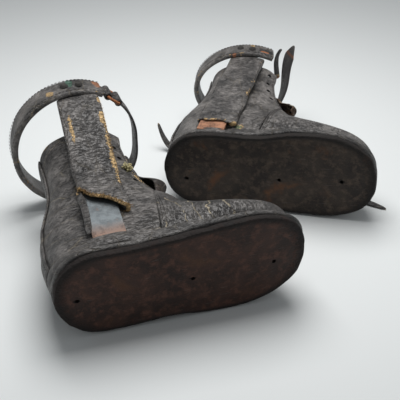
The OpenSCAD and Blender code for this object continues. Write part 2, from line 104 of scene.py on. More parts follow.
def along(table, z):
    """A smooth line through the table's points."""
    xs, ys = np.array(table, float).T
    slopes = np.gradient(ys, xs)
    z = np.clip(z, xs[0], xs[-1])
    i = np.clip(np.searchsorted(xs, z, side="right") - 1, 0, len(xs) - 2)
    h = xs[i + 1] - xs[i]
    t = (z - xs[i]) / h
    return (ys[i] * (1 + 2 * t) * (1 - t) ** 2 + slopes[i] * h * t * (1 - t) ** 2
            + ys[i + 1] * t * t * (3 - 2 * t) + slopes[i + 1] * h * t * t * (t - 1))


def hashed(i, j, k, seed):
    """A repeatable number from -1 to 1 for each whole point."""
    h = (i * 73856093 ^ j * 19349663 ^ k * 83492791 ^ (seed * 2654435 + 17)) & 0xFFFFFFFF
    h = ((h ^ (h >> 13)) * 1274126177) & 0xFFFFFFFF
    h = ((h ^ (h >> 15)) * 668265263) & 0xFFFFFFFF
    return ((h ^ (h >> 16)) & 0xFFFF) / 32767.5 - 1


def lumps(p, size, seed):
    """Soft random lumps from -1 to 1, about size millimetres across, at points p in millimetres."""
    q = np.asarray(p, float) / size
    base = np.floor(q).astype(np.int64)
    f = q - base
    f = f * f * (3 - 2 * f)
    total = 0
    for dx in (0, 1):
        for dy in (0, 1):
            for dz in (0, 1):
                w = ((f[..., 0] if dx else 1 - f[..., 0]) * (f[..., 1] if dy else 1 - f[..., 1])
                     * (f[..., 2] if dz else 1 - f[..., 2]))
                total = total + w * hashed(base[..., 0] + dx, base[..., 1] + dy, base[..., 2] + dz, seed)
    return total


def rough(p, size, seed):
    return (lumps(p, size, seed) + 0.5 * lumps(p, size / 2.1, seed + 7)
            + 0.25 * lumps(p, size / 4.3, seed + 13))


def unit(v):
    return v / np.maximum(np.linalg.norm(v, axis=-1, keepdims=True), 1e-9)


# ---------------------------------------------------------------- the boots' shape, in millimetres
def sole_half(u, inner):
    width = (mix(HEEL_HALF, BALL_HALF, smooth((u - 0.2) / 0.5))
             - np.where(inner, WAIST_IN, 0) * bell(u, 0.45, 0.14))
    heel = np.clip(1 - np.clip((0.19 - u) / 0.19, 0, 1) ** 2.05, 0, 1) ** (1 / 2.05)
    toe = np.clip(1 - np.clip((u - 0.70) / 0.30, 0, 1) ** 2.45, 0, 1) ** (1 / 2.45)
    return width * heel * toe


def sweep(u):
    return SWEEP * clamp01(np.abs(u - 0.5) / 0.5) ** 2


def sole_point(a, grow, z):
    """A point of the sole's outline, grown sideways, at angle a in degrees."""
    a = np.radians(a)
    u = (1 + np.cos(a)) / 2
    inner = np.sin(a) > 0
    half = sole_half(u, inner) * (BALL_HALF + grow) / BALL_HALF
    x = -grow + u * (SOLE_L + 2 * grow)
    return np.stack(np.broadcast_arrays(x, np.where(inner, 1, -1) * half - sweep(u), z), -1)


class Boot:
    """One boot's sizes and place. Its own frame has x to the toe, y to the inner ankle and z up the leg."""

    def __init__(self, side, **sizes):
        self.side = side
        self.__dict__.update(sizes)
        a, b, c = math.radians(self.turn), math.radians(self.lift), math.radians(self.pitch)
        lie = Matrix.Rotation(a, 3, "Z") @ Matrix.Rotation(b, 3, "X") @ Matrix.Rotation(-c, 3, "Y")
        self.lie = lie @ Matrix.Rotation(-math.pi / 2, 3, "X")
        self.turned = np.array(self.lie) @ np.diag((1, -1 if side == "left" else 1, 1))
        self.place = np.array(self.at) + ROW_SHIFT
        self.body = side + "_boot"

    def world(self, p):
        return np.asarray(p, float) @ self.turned.T + self.place

    def vec(self, v):
        return np.asarray(v, float) @ self.turned.T

    def round_share(self, z):
        return smooth((z - 9) / 45)

    def upper(self, a, z, off):
        """A point of the upper, off inwards: a is 0 at the toe, 90 on the inner side and 180 at the heel."""
        a = np.radians(np.asarray(a, float))
        z = np.asarray(z, float)
        u = (1 + np.cos(a)) / 2
        inner = np.sin(a) > 0
        half = along(HALF_WIDTH, z) - self.slim * smooth((z - 70) / 50) - off
        x0 = along(BACK_LINE, z) + off
        x1 = along(FRONT_LINE, z) - off
        oval = np.clip(1 - np.abs(2 * u - 1) ** 2.3, 0, 1) ** (1 / 2.3)
        plan = mix(sole_half(u, inner) / BALL_HALF, oval, self.round_share(z))
        y = np.where(inner, 1, -1) * half * plan - sweep(u) * (1 - self.round_share(z))
        return np.stack(np.broadcast_arrays(x0 + u * (x1 - x0), y, z), -1)

    def wobble(self, a, z):
        """Dents and folds of the worn leather, in millimetres outwards, the same for every layer."""
        p = self.upper(a, z, 0)
        folds = np.sin(p[..., 2] * 0.42 + 2.2 * lumps(p, 22, 5)) * bell(p[..., 2], 62, 20) * 0.45
        return self.dents * (0.8 * lumps(p, 24, 3) + 0.35 * lumps(p, 9, 4)) + folds * self.dents

    def skin(self, a, z, off):
        return self.upper(a, z, off - self.wobble(a, z))

    def seam_a(self, z):
        seam_x = mix(72, 84, (z - FLOOR_Z) / (THROAT_Z - FLOOR_Z))
        x0, x1 = along(BACK_LINE, z), along(FRONT_LINE, z)
        return np.degrees(np.arccos(2 * clamp01((seam_x - x0) / (x1 - x0)) - 1))

    def gap_a(self, z):
        return along(GAP_LINE, z)

    def edge_a(self, z):
        low = np.maximum(self.seam_a(z), self.gap_a(THROAT_Z))
        return np.where(z < THROAT_Z, low, self.gap_a(z))

    def top_y(self, way):
        return self.rb - 5.2 - self.out * way

    def bar_y(self, z, way):
        low = np.interp(z, (10, 32, 60, 85), (29.8, 29.8, 28.7, 29))
        return np.where(z < 85, low, mix(29, self.top_y(way), smooth((z - 85) / (self.band_z - 97))))

    def upright(self, x, y, z):
        """From the upright's own frame, which leans to the front, to the boot's frame."""
        t = math.radians(self.lean)
        dz = np.asarray(z, float) - 10.6
        return np.stack(np.broadcast_arrays(self.bar_x + x * math.cos(t) + dz * math.sin(t), y,
                                            10.6 - x * math.sin(t) + dz * math.cos(t)), -1)

    def band_middle(self, t, off, h):
        """A point of the calf band: t in degrees from the front, off outwards, h up."""
        t = np.radians(np.asarray(t, float))
        n = np.stack((np.cos(t) * self.rb, np.sin(t) * self.ra), -1)
        n = unit(n)
        flat = np.stack((self.ra * np.cos(t), self.rb * np.sin(t)), -1) + np.asarray(off)[..., None] * n
        return self.band_frame(flat[..., 0], flat[..., 1], h)

    def band_frame(self, x, y, h):
        t = math.radians(self.tilt)
        x, y, h = np.broadcast_arrays(x, y, h)
        cx = self.bar_x + math.tan(math.radians(self.lean)) * (self.band_z - 10.6) - self.back
        return np.stack((cx + x * math.cos(t) - h * math.sin(t), y - self.out,
                         self.band_z + x * math.sin(t) + h * math.cos(t)), -1)


RIGHT = Boot("right", turn=17.5, lift=5.4, pitch=2.4, at=(-88.6, -175.4, 30.75), slim=0.0, ra=47.5, rb=48.8,
             out=4.4, back=2.0, band_z=170.0, tilt=2.0, bar_x=41.0, lean=2.0, shaft_top=149.0, dents=0.62,
             band_start=40, holes=((0.085, 1), (0.535, 1), (0.87, 4)))
LEFT = Boot("left", turn=-11.5, lift=3.4, pitch=2.4, at=(-28.7, -3.2, 33.2), slim=2.6, ra=46.0, rb=36.0,
            out=3.5, back=1.0, band_z=152.0, tilt=7.0, bar_x=37.0, lean=2.7, shaft_top=138.0, dents=0.42,
            band_start=57, holes=((0.11, -7), (0.555, -5.5), (0.845, -2)))
BOOTS = (RIGHT, LEFT)


# ---------------------------------------------------------------- meshes
def grid_quads(m, n, wrap, start=0):
    i, j = np.meshgrid(np.arange(m - 1), np.arange(n if wrap else n - 1), indexing="ij")
    k = (j + 1) % n
    return np.stack((i * n + j, i * n + k, (i + 1) * n + k, (i + 1) * n + j), -1).reshape(-1, 4) + start


def shell(outer, inner, wrap=False, lip=0.4):
    """A closed, round-edged sheet between two grids of points, and the point that each vertex follows."""
    m, n = outer.shape[:2]
    verts = [outer.reshape(-1, 3), inner.reshape(-1, 3)]
    source = [np.arange(m * n), np.arange(m * n)]
    faces = [grid_quads(m, n, wrap), grid_quads(m, n, wrap, m * n)[:, ::-1]]
    if wrap:
        loops = [np.arange(n), (m - 1) * n + np.arange(n)[::-1]]
    else:
        edge = list(range(n)) + [i * n + n - 1 for i in range(1, m)]
        edge += [(m - 1) * n + j for j in range(n - 2, -1, -1)] + [i * n for i in range(m - 2, 0, -1)]
        loops = [np.array(edge)]
    start = 2 * m * n
    flat_out, flat_in = verts[0], verts[1]
    for loop in loops:
        row, col = loop // n, loop % n
        near = np.clip(row, 1, m - 2) * n + (col if wrap else np.clip(col, 1, n - 2))
        thick = np.linalg.norm(flat_out[loop] - flat_in[loop], axis=1, keepdims=True)
        verts.append((flat_out[loop] + flat_in[loop]) / 2
                     + unit(flat_out[loop] - flat_out[near]) * thick * lip)
        source.append(loop)
        k = np.arange(len(loop))
        nxt = (k + 1) % len(loop)
        faces.append(np.stack((loop[nxt], loop[k], start + k, start + nxt), -1))
        faces.append(np.stack((start + nxt, start + k, m * n + loop[k], m * n + loop[nxt]), -1))
        start += len(loop)
    return np.concatenate(verts), [tuple(f) for f in np.concatenate(faces)], np.concatenate(source)


def loft(rings, wrap=False):
    """A closed solid through rings of points, with its two ends filled, or joined to each other."""
    m, n = rings.shape[:2]
    verts = rings.reshape(-1, 3)
    faces = [tuple(f) for f in grid_quads(m, n, True)]
    source = np.arange(m * n)
    if wrap:
        j = np.arange(n)
        k = (j + 1) % n
        faces += [tuple(f) for f in np.stack(((m - 1) * n + j, (m - 1) * n + k, k, j), -1)]
        return verts, faces, source
    verts = np.concatenate((verts, rings[0].mean(0)[None], rings[-1].mean(0)[None]))
    source = np.concatenate((source, [0, (m - 1) * n]))
    for j in range(n):
        k = (j + 1) % n
        faces.append((m * n, k, j))
        faces.append((m * n + 1, (m - 1) * n + j, (m - 1) * n + k))
    return verts, faces, source


def joined(*parts):
    verts, faces, source, start = [], [], [], 0
    for v, f, s in parts:
        verts.append(v)
        faces += [tuple(i + start for i in face) for face in f]
        source.append(s)
        start += len(v)
    return np.concatenate(verts), faces, np.concatenate(source)


def signed_volume(verts, faces):
    total = 0.0
    for size in (3, 4):
        f = np.array([x for x in faces if len(x) == size], int)
        if len(f):
            a, b, c = verts[f[:, 0]], verts[f[:, 1]], verts[f[:, 2]]
            total += np.einsum("ij,ij->i", a, np.cross(b, c)).sum()
            if size == 4:
                total += np.einsum("ij,ij->i", a, np.cross(c, verts[f[:, 3]])).sum()
    return total


def set_layer(mesh, name, kind, values):
    layer = mesh.attributes.get(name) or mesh.attributes.new(name, kind, "POINT")
    field = {"FLOAT": "value", "FLOAT_VECTOR": "vector", "FLOAT_COLOR": "color"}[kind]
    layer.data.foreach_set(field, np.asarray(values, np.float32).reshape(-1))


def piece(name, boot, shape, finish, body=None, replaces=(), marks=None, soot=None, lay=None):
    """Makes one object from a shape in the boot's frame. marks holds tan, green and rust wear by vertex."""
    verts, faces, _ = shape
    placed = boot.world(verts) if boot is not None else verts
    if signed_volume(placed - placed.mean(0), faces) < 0:
        faces = [f[::-1] for f in faces]
    mesh = bpy.data.meshes.new(name)
    mesh.from_pydata((placed / 1000).tolist(), [], [tuple(int(i) for i in f) for f in faces])
    mesh.update()
    mesh.polygons.foreach_set("use_smooth", [True] * len(mesh.polygons))
    obj = bpy.data.objects.new(name, mesh)
    bpy.context.scene.collection.objects.link(obj)
    lay = verts if lay is None else lay
    set_layer(mesh, "lay", "FLOAT_VECTOR", lay / 1000)
    colours = np.zeros((len(verts), 4))
    if marks is not None:
        colours[:, :3] = clamp01(np.stack(np.broadcast_arrays(*marks, verts[:, 0])[:3], -1))
    colours[:, 3] = 1
    set_layer(mesh, "marks", "FLOAT_COLOR", colours)
    set_layer(mesh, "soot", "FLOAT",
              np.zeros(len(verts)) if soot is None else clamp01(soot + 0 * verts[:, 0]))
    mesh.materials.append(bpy.data.materials[finish])
    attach(obj, body or boot.body)
    if replaces:
        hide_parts(*replaces)
    return obj


def drilled(obj, centres, direction, radius, length):
    """Round holes through a finished piece. Centres are in metres in the row frame."""
    for c in centres:
        bpy.ops.mesh.primitive_cylinder_add(vertices=28, radius=radius, depth=length, location=c)
        cutter = bpy.context.active_object
        cutter.rotation_mode = "QUATERNION"
        cutter.rotation_quaternion = direction.to_track_quat("Z", "Y")
        count = len(cutter.data.vertices)
        set_layer(cutter.data, "lay", "FLOAT_VECTOR", np.zeros((count, 3)))
        set_layer(cutter.data, "marks", "FLOAT_COLOR", np.tile((0.0, 0, 0, 1), (count, 1)))
        # Full darkness on the cutter passes to the walls of the bore: painted shade inside the hole.
        set_layer(cutter.data, "soot", "FLOAT", np.ones(count))
        cut = obj.modifiers.new("hole", "BOOLEAN")
        cut.operation = "DIFFERENCE"
        cut.solver = "EXACT"
        cut.object = cutter
        flatten(obj)
        bpy.data.objects.remove(cutter)
        paint_shade_in_bores(obj.data)


def paint_shade_in_bores(mesh):
    """The walls of a bore have no layers of their own, so they are made plain and painted near black as shade
    inside the hole.
    """
    count = len(mesh.vertices)
    lay, marks, soot = np.zeros(3 * count), np.zeros(4 * count), np.zeros(count)
    mesh.attributes["lay"].data.foreach_get("vector", lay)
    mesh.attributes["marks"].data.foreach_get("color", marks)
    mesh.attributes["soot"].data.foreach_get("value", soot)
    bare = np.abs(lay.reshape(-1, 3)).sum(1) < 1e-9
    marks = marks.reshape(-1, 4)
    marks[bare] = (0, 0, 0, 1)
    soot[bare] = 1
    set_layer(mesh, "marks", "FLOAT_COLOR", marks)
    set_layer(mesh, "soot", "FLOAT", soot)


def flatten(obj):
    """Turns an object's modifiers into its mesh and takes them off."""
    bpy.context.view_layer.update()
    done = bpy.data.meshes.new_from_object(obj.evaluated_get(bpy.context.evaluated_depsgraph_get()))
    obj.modifiers.clear()
    obj.data = done


# ---------------------------------------------------------------- shader expressions
class Value:
    """One socket of a material's tree, on which the usual signs add Math nodes."""

    def __init__(self, tree, socket):
        self.tree, self.socket = tree, socket

    def made(self, operation, *inputs):
        return self.tree.node("ShaderNodeMath", {"operation": operation}, dict(enumerate(inputs)))

    def __add__(self, other):
        return self.made("ADD", self, other)

    def __sub__(self, other):
        return self.made("SUBTRACT", self, other)

    def __rsub__(self, other):
        return self.made("SUBTRACT", other, self)

    def __mul__(self, other):
        return self.made("MULTIPLY", self, other)

    def over(self, other):
        return self.made("MAXIMUM", self, other)

    def clear(self):
        return self.tree.node("ShaderNodeClamp", {}, {0: self})

    __radd__ = __add__
    __rmul__ = __mul__


class Tree:
    """A material's node tree, written as expressions."""

    def __init__(self, name):
        self.material = bpy.data.materials.new(name)
        self.material.use_nodes = True
        self.nodes = self.material.node_tree.nodes
        self.links = self.material.node_tree.links
        self.shader = self.nodes["Principled BSDF"]

    def node(self, kind, settings, inputs, out=0):
        made = self.nodes.new(kind)
        for key, value in settings.items():
            setattr(made, key, value)
        for key, value in inputs.items():
            self.feed(made.inputs[key], value)
        return Value(self, made.outputs[out])

    def feed(self, socket, value):
        if isinstance(value, Value):
            self.links.new(value.socket, socket)
        elif isinstance(value, tuple) and len(value) == 3 and socket.type == "RGBA":
            socket.default_value = value + (1.0,)
        else:
            socket.default_value = value

    def layer(self, name):
        return self.node("ShaderNodeAttribute", {"attribute_name": name}, {}, "Vector")

    def level(self, name):
        return self.node("ShaderNodeAttribute", {"attribute_name": name}, {}, "Fac")

    def parts(self, vector):
        made = self.nodes.new("ShaderNodeSeparateXYZ")
        self.feed(made.inputs[0], vector)
        return [Value(self, o) for o in made.outputs]

    def stretched(self, vector, by):
        return self.node("ShaderNodeVectorMath", {"operation": "MULTIPLY"}, {0: vector, 1: by})

    def shaken(self, vector, scale, amount):
        """The vector moved about by soft noise, so that straight patterns waver."""
        noise = self.node("ShaderNodeTexNoise", {}, {"Vector": vector, "Scale": scale, "Detail": 2.0},
                          "Color")
        moved = self.node("ShaderNodeVectorMath", {"operation": "SUBTRACT"}, {0: noise, 1: (0.5, 0.5, 0.5)})
        return self.node("ShaderNodeVectorMath", {"operation": "MULTIPLY_ADD"},
                         {0: moved, 1: (amount, amount, amount), 2: vector})

    def noise(self, vector, scale, detail=4.0, roughness=0.55):
        return self.node("ShaderNodeTexNoise", {},
                         {"Vector": vector, "Scale": scale, "Detail": detail, "Roughness": roughness}, "Fac")

    def cell_edges(self, vector, scale):
        return self.node("ShaderNodeTexVoronoi", {"feature": "DISTANCE_TO_EDGE"},
                         {"Vector": vector, "Scale": scale}, "Distance")

    def step(self, value, low, high):
        return self.node("ShaderNodeMapRange", {"interpolation_type": "SMOOTHSTEP"},
                         {"Value": value, "From Min": low, "From Max": high})

    def blend(self, share, a, b):
        made = self.nodes.new("ShaderNodeMix")
        made.data_type = "RGBA"
        self.feed(made.inputs[0], share)
        self.feed(made.inputs[6], a)
        self.feed(made.inputs[7], b)
        return Value(self, made.outputs[2])

    def finish(self, colour, roughness, height=None, depth=0.001, metallic=None, strength=1.0, **fixed):
        self.feed(self.shader.inputs["Base Color"], colour)
        self.feed(self.shader.inputs["Roughness"], roughness)
        if metallic is not None:
            self.feed(self.shader.inputs["Metallic"], metallic)
        for key, value in fixed.items():
            self.shader.inputs[key.replace("_", " ")].default_value = value
        if height is not None:
            bump = self.node("ShaderNodeBump", {},
                             {"Height": height, "Distance": depth, "Strength": strength})
            self.feed(self.shader.inputs["Normal"], bump)
        return self.material


def colour(prop):
    return tuple(prop[:3])


# ---------------------------------------------------------------- finishes
def leather_finish(name, dark, light, cream, tan, rust, cracks, shine, squeeze=(1.0, 1.0, 1.0), net=70.0,
                   grain=1.0, streak=(1.0, 1.0, 5.0), wrinkle=0.62, reach=9.0, across=0.0):
    """Old leather. cracks is the share of pale cracks, which form a net of cells squeezed along each axis,
    or run across the boot at the scale given, as far as reach along x. grain is how deep the fine lines are,
    streak how they stretch and wrinkle how dark they are."""
    t = Tree(name)
    p = t.layer("lay")
    tans, greens, rusts = t.parts(t.layer("marks"))
    soot = t.level("soot")
    tone = t.noise(p, 48.0, 6.0, 0.6)
    fine = t.noise(p, 520.0, 4.0, 0.65)
    blotch = t.noise(p, 160.0, 5.0, 0.6)
    base = t.blend(t.step(tone, 0.32, 0.68), dark, light)
    base = t.blend(t.step(blotch, 0.5, 0.75) * 0.55, base, tuple(1.5 * c for c in light))
    base = t.blend(t.step(fine, 0.45, 0.75) * 0.35, base, tuple(0.35 * c for c in dark))
    if across:
        wave = t.node("ShaderNodeTexWave", {"bands_direction": "X"},
                      {"Vector": t.shaken(p, 160.0, 0.003), "Scale": across, "Distortion": 5.0, "Detail": 3.0,
                       "Detail Scale": 2.0}, "Fac")
        creases = t.step(wave, 0.972, 0.994)
        where = t.step(t.noise(p, 75.0, 3.0), 0.44, 0.56)
    else:
        net_of_cracks = t.stretched(t.shaken(p, 150.0, 0.004), squeeze)
        creases = 1 - t.step(t.cell_edges(net_of_cracks, net), 0.0, 0.042)
        where = t.step(t.noise(p, 38.0, 3.0), 0.40, 0.58)
    bent = t.shaken(p, 45.0, 0.010)
    turned = t.node("ShaderNodeMapping", {}, {"Vector": bent, "Rotation": (0.0, 0.42, 0.25), "Scale": streak})
    hair = t.step(t.noise(turned, 330.0, 6.0, 0.78), 0.48, 0.66)
    scuffs = t.step(t.noise(turned, 560.0, 4.0, 0.78), 0.59, 0.70)
    cloud = t.step(t.noise(p, 75.0, 5.0, 0.62), 0.42, 0.62)
    base = t.blend(cloud * 0.45, base, tuple(0.5 * c for c in dark))
    base = t.blend(hair * wrinkle, base, tuple(0.3 * c for c in dark))
    base = t.blend(scuffs * (0.2 + 0.6 * wrinkle), base, tuple(2.6 * c for c in light))
    pale = creases * where * cracks * (1 - t.step(t.parts(p)[0], reach - 0.02, reach))
    base = t.blend(pale.clear(), base, cream)
    specks = t.step(t.noise(p, 900.0, 2.0), 0.68, 0.78) * t.step(blotch, 0.45, 0.6)
    base = t.blend(specks * 0.5, base, cream)
    worn = t.step(tans + (fine - 0.5) * 1.5 + (blotch - 0.5), 0.46, 0.60)
    flesh = t.blend(t.step(t.noise(p, 1100.0, 4.0, 0.7), 0.35, 0.65), tuple(0.3 * c for c in tan),
                    tuple(1.7 * c for c in tan))
    base = t.blend(worn * 0.92, base, flesh)
    green = t.step(greens + (blotch - 0.5) * 1.4, 0.45, 0.6)
    base = t.blend(green * 0.75, base, (0.035, 0.12, 0.075))
    red = t.step(rusts + (fine - 0.5) * 0.9, 0.45, 0.62)
    base = t.blend(red * 0.9, base, rust)
    # Darkens towards near black by the vertex darkness layer: painted shade in holes, in the toe gap, in
    # grooves and on faces turned to the boot, band or floor, besides a few dark marks.
    base = t.blend(soot * 0.88, base, (0.006, 0.005, 0.005))
    height = (fine * 0.35 + blotch * 0.6 - hair * 0.5 * grain + scuffs * 0.2 - creases * where * 0.4
              + worn * 0.3 + t.noise(p, 1500.0, 2.0) * 0.18)
    gloss = (0.46 - shine * 0.24) + blotch * 0.28 + worn * 0.3 + pale * 0.2 + hair * 0.14
    return t.finish(base, gloss.clear(), height, 0.0016, Specular_IOR_Level=0.5 + 0.3 * shine)


def sole_finish(name, dark, light, rim, rust):
    t = Tree(name)
    p = t.layer("lay")
    soot = t.level("soot")
    cloud = t.noise(t.shaken(p, 20.0, 0.02), 30.0, 7.0, 0.68)
    mottle = t.noise(p, 150.0, 6.0, 0.7)
    fine = t.noise(p, 700.0, 3.0)
    base = t.blend(t.step(cloud, 0.38, 0.62), dark, light)
    base = t.blend(t.step(mottle, 0.46, 0.66) * 0.75, base, tuple(2.4 * c for c in light))
    grey = tuple(0.35 * sum(light) + 1.4 * c for c in light)
    lines = t.step(t.noise(t.stretched(t.shaken(p, 60.0, 0.012), (9.0, 60.0, 9.0)), 16.0, 5.0, 0.7),
                   0.64, 0.72)
    base = t.blend(lines * 0.5, base, tuple(2.2 * c for c in grey))
    warm = t.step(t.noise(t.shaken(p, 30.0, 0.02), 33.0, 4.0, 0.65), 0.56, 0.72)
    base = t.blend(warm * 0.75, base, rust)
    long_marks = t.step(t.noise(t.stretched(t.shaken(p, 40.0, 0.006), (22.0, 160.0, 30.0)), 3.0, 3.0),
                        0.63, 0.7)
    base = t.blend(long_marks * 0.16, base, (0.16, 0.13, 0.11))
    # The darker rim is the sole's own worn edge; on the walls of the nail holes this darkening is painted
    # shade.
    edge = t.step(soot + (mottle - 0.5) * 0.5, 0.35, 0.95)
    base = t.blend(edge * 0.85, base, rim)
    height = mottle * (0.5 + 1.6 * edge) + fine * (0.3 + 0.9 * edge) - long_marks * 0.35 + cloud * 0.6
    gloss = 0.5 + mottle * 0.28 - long_marks * 0.1 + 0.15 * edge
    return t.finish(base, gloss.clear(), height, 0.0009, strength=0.9, Specular_IOR_Level=0.34)


def steel_finish(name, boot, steel, rust, low, high):
    """Blued flat steel that turns to rust towards its foot, between the heights low and high in metres."""
    t = Tree(name)
    here = t.node("ShaderNodeTexCoord", {}, {}, "Object")
    back = boot.lie.transposed()
    spot = back @ Vector(-boot.place / 1000)
    p = t.node("ShaderNodeMapping", {},
               {"Vector": here, "Location": tuple(spot), "Rotation": tuple(back.to_euler())})
    z = t.parts(p)[2]
    spots = t.noise(p, 170.0, 6.0, 0.65)
    fine = t.noise(p, 900.0, 4.0, 0.6)
    rusty = (1 - t.step(z + (spots - 0.5) * 0.022, low, high)).over(t.step(spots, 0.6, 0.74) * 0.6)
    base = t.blend(t.step(spots, 0.35, 0.65), steel, tuple(0.6 * c for c in steel))
    reds = t.blend(t.step(spots, 0.36, 0.62), tuple(0.35 * c for c in rust), tuple(1.35 * c for c in rust))
    reds = t.blend(t.step(fine, 0.4, 0.7) * 0.6, reds, tuple(1.7 * c for c in rust))
    base = t.blend(rusty, base, reds)
    return t.finish(base, (0.38 + rusty * 0.4 + spots * 0.12).clear(), fine * 0.5 + spots * rusty, 0.0005,
                    metallic=0.75 - rusty * 0.7, strength=0.7)


def metal_finish(name, clean, crust, share, metallic=0.7):
    t = Tree(name)
    p = t.node("ShaderNodeTexCoord", {}, {}, "Object")
    spots = t.noise(p, 420.0, 6.0, 0.7)
    fine = t.noise(p, 1600.0, 4.0, 0.6)
    old = t.step(spots, 0.72 - 0.4 * share, 0.82 - 0.4 * share)
    base = t.blend(t.step(fine, 0.3, 0.7), clean, tuple(0.55 * c for c in clean))
    base = t.blend(old, base, t.blend(fine, tuple(0.5 * c for c in crust), tuple(1.4 * c for c in crust)))
    return t.finish(base, (0.4 + old * 0.42).clear(), spots * 0.7 + fine * 0.4, 0.0006,
                    metallic=metallic - old * metallic, strength=0.9)


def thread_finish(name, dark, light):
    t = Tree(name)
    p = t.layer("lay")
    twist = t.noise(t.stretched(p, (1.0, 1.0, 4.0)), 1400.0, 3.0)
    dirt = t.noise(p, 60.0, 3.0)
    base = t.blend(t.step(dirt, 0.4, 0.65), dark, light)
    base = t.blend(twist * 0.5, base, tuple(0.4 * c for c in dark))
    return t.finish(base, 0.75 + 0.2 * twist, twist, 0.0002, strength=0.6)


def floor_finish(name, pale):
    t = Tree(name)
    p = t.node("ShaderNodeTexCoord", {}, {}, "Object")
    cloud = t.noise(p, 2.0, 3.0)
    base = t.blend(cloud, tuple(0.985 * c for c in pale), pale)
    return t.finish(base, 0.55 + 0.1 * cloud, t.noise(p, 300.0, 2.0), 0.0001, strength=0.1,
                    Specular_IOR_Level=0.3)


# ---------------------------------------------------------------- repeats, by Geometry Nodes
def group_of(name, inputs):
    tree = bpy.data.node_groups.new(name, "GeometryNodeTree")
    tree.interface.new_socket("Geometry", in_out="INPUT", socket_type="NodeSocketGeometry")
    for label, kind, value in inputs:
        made = tree.interface.new_socket(label, in_out="INPUT", socket_type=kind)
        if value is not None:
            made.default_value = value
    tree.interface.new_socket("Geometry", in_out="OUTPUT", socket_type="NodeSocketGeometry")
    return tree


def even_points(tree, source):
    """Cuts the incoming paths into even steps of Pitch."""
    curve, even = tree.nodes.new("GeometryNodeMeshToCurve"), tree.nodes.new("GeometryNodeResampleCurve")
    even.mode = "LENGTH"
    tree.links.new(source.outputs["Geometry"], curve.inputs[0])
    tree.links.new(curve.outputs[0], even.inputs["Curve"])
    tree.links.new(source.outputs["Pitch"], even.inputs["Length"])
    return even


def upward(tree):
    """The way that each point of a path faces."""
    up = tree.nodes.new("GeometryNodeInputNamedAttribute")
    up.data_type = "FLOAT_VECTOR"
    up.inputs["Name"].default_value = "up"
    return up


def placed(tree, source, points, shape, material):
    """Puts the shape on the points, makes the copies real, gives them their material and ends the tree."""
    add, link = tree.nodes.new, tree.links.new
    place, real = add("GeometryNodeInstanceOnPoints"), add("GeometryNodeRealizeInstances")
    paint, end = add("GeometryNodeSetMaterial"), add("NodeGroupOutput")
    link(points, place.inputs["Points"])
    link(shape, place.inputs["Instance"])
    link(place.outputs[0], real.inputs[0])
    link(real.outputs[0], paint.inputs["Geometry"])
    link(source.outputs[material], paint.inputs["Material"])
    link(paint.outputs[0], end.inputs["Geometry"])
    return place


def stitch_tree():
    """Thread stitches, one after another along paths, each lying flat on the leather."""
    tree = group_of("stitch_rows", (
        ("Pitch", "NodeSocketFloat", 0.003), ("Stitch Length", "NodeSocketFloat", 0.002),
        ("Thickness", "NodeSocketFloat", 0.0006), ("Thread", "NodeSocketMaterial", None)))
    add, link = tree.nodes.new, tree.links.new
    source, ball = add("NodeGroupInput"), add("GeometryNodeMeshIcoSphere")
    ball.inputs["Subdivisions"].default_value = 2
    ball.inputs["Radius"].default_value = 0.5
    size, shape = add("ShaderNodeCombineXYZ"), add("GeometryNodeTransform")
    flat, straight = add("FunctionNodeAlignRotationToVector"), add("FunctionNodeAlignRotationToVector")
    flat.axis, straight.axis, straight.pivot_axis = "Z", "X", "Z"
    link(source.outputs["Stitch Length"], size.inputs[0])
    link(source.outputs["Thickness"], size.inputs[1])
    link(source.outputs["Thickness"], size.inputs[2])
    link(ball.outputs["Mesh"], shape.inputs["Geometry"])
    link(size.outputs[0], shape.inputs["Scale"])
    link(upward(tree).outputs["Attribute"], flat.inputs["Vector"])
    link(flat.outputs[0], straight.inputs["Rotation"])
    link(add("GeometryNodeInputTangent").outputs[0], straight.inputs["Vector"])
    place = placed(tree, source, even_points(tree, source).outputs[0], shape.outputs[0], "Thread")
    link(straight.outputs[0], place.inputs["Rotation"])
    return tree


def fray_tree():
    """Short torn fibres along a worn edge, each turned and scaled at random."""
    tree = group_of("frayed_edge", (
        ("Pitch", "NodeSocketFloat", 0.0004), ("Fibre Length", "NodeSocketFloat", 0.0025),
        ("Fibre Radius", "NodeSocketFloat", 0.00016), ("Spread", "NodeSocketFloat", 0.9),
        ("Seed", "NodeSocketInt", 3), ("Fibre", "NodeSocketMaterial", None)))
    add, link = tree.nodes.new, tree.links.new
    source, cone = add("NodeGroupInput"), add("GeometryNodeMeshCone")
    cone.inputs["Vertices"].default_value = 4
    cone.inputs["Radius Top"].default_value = 0.00003
    shake, scale = add("FunctionNodeRandomValue"), add("FunctionNodeRandomValue")
    reach = add("ShaderNodeVectorMath")
    shake.data_type = "FLOAT_VECTOR"
    shake.inputs["Min"].default_value = (-1, -1, -1)
    shake.inputs["Max"].default_value = (1, 1, 1)
    scale.data_type = "FLOAT"
    scale.inputs[2].default_value = 0.35
    scale.inputs[3].default_value = 1.5
    reach.operation = "MULTIPLY_ADD"
    spread, turn = add("ShaderNodeCombineXYZ"), add("FunctionNodeAlignRotationToVector")
    turn.axis = "Z"
    link(source.outputs["Fibre Length"], cone.inputs["Depth"])
    link(source.outputs["Fibre Radius"], cone.inputs["Radius Bottom"])
    for i in range(3):
        link(source.outputs["Spread"], spread.inputs[i])
    for chance in (shake, scale):
        link(source.outputs["Seed"], chance.inputs["Seed"])
    link(shake.outputs["Value"], reach.inputs[0])
    link(spread.outputs[0], reach.inputs[1])
    link(upward(tree).outputs["Attribute"], reach.inputs[2])
    link(reach.outputs[0], turn.inputs["Vector"])
    place = placed(tree, source, even_points(tree, source).outputs[0], cone.outputs["Mesh"], "Fibre")
    link(turn.outputs[0], place.inputs["Rotation"])
    link(scale.outputs[1], place.inputs["Scale"])
    return tree


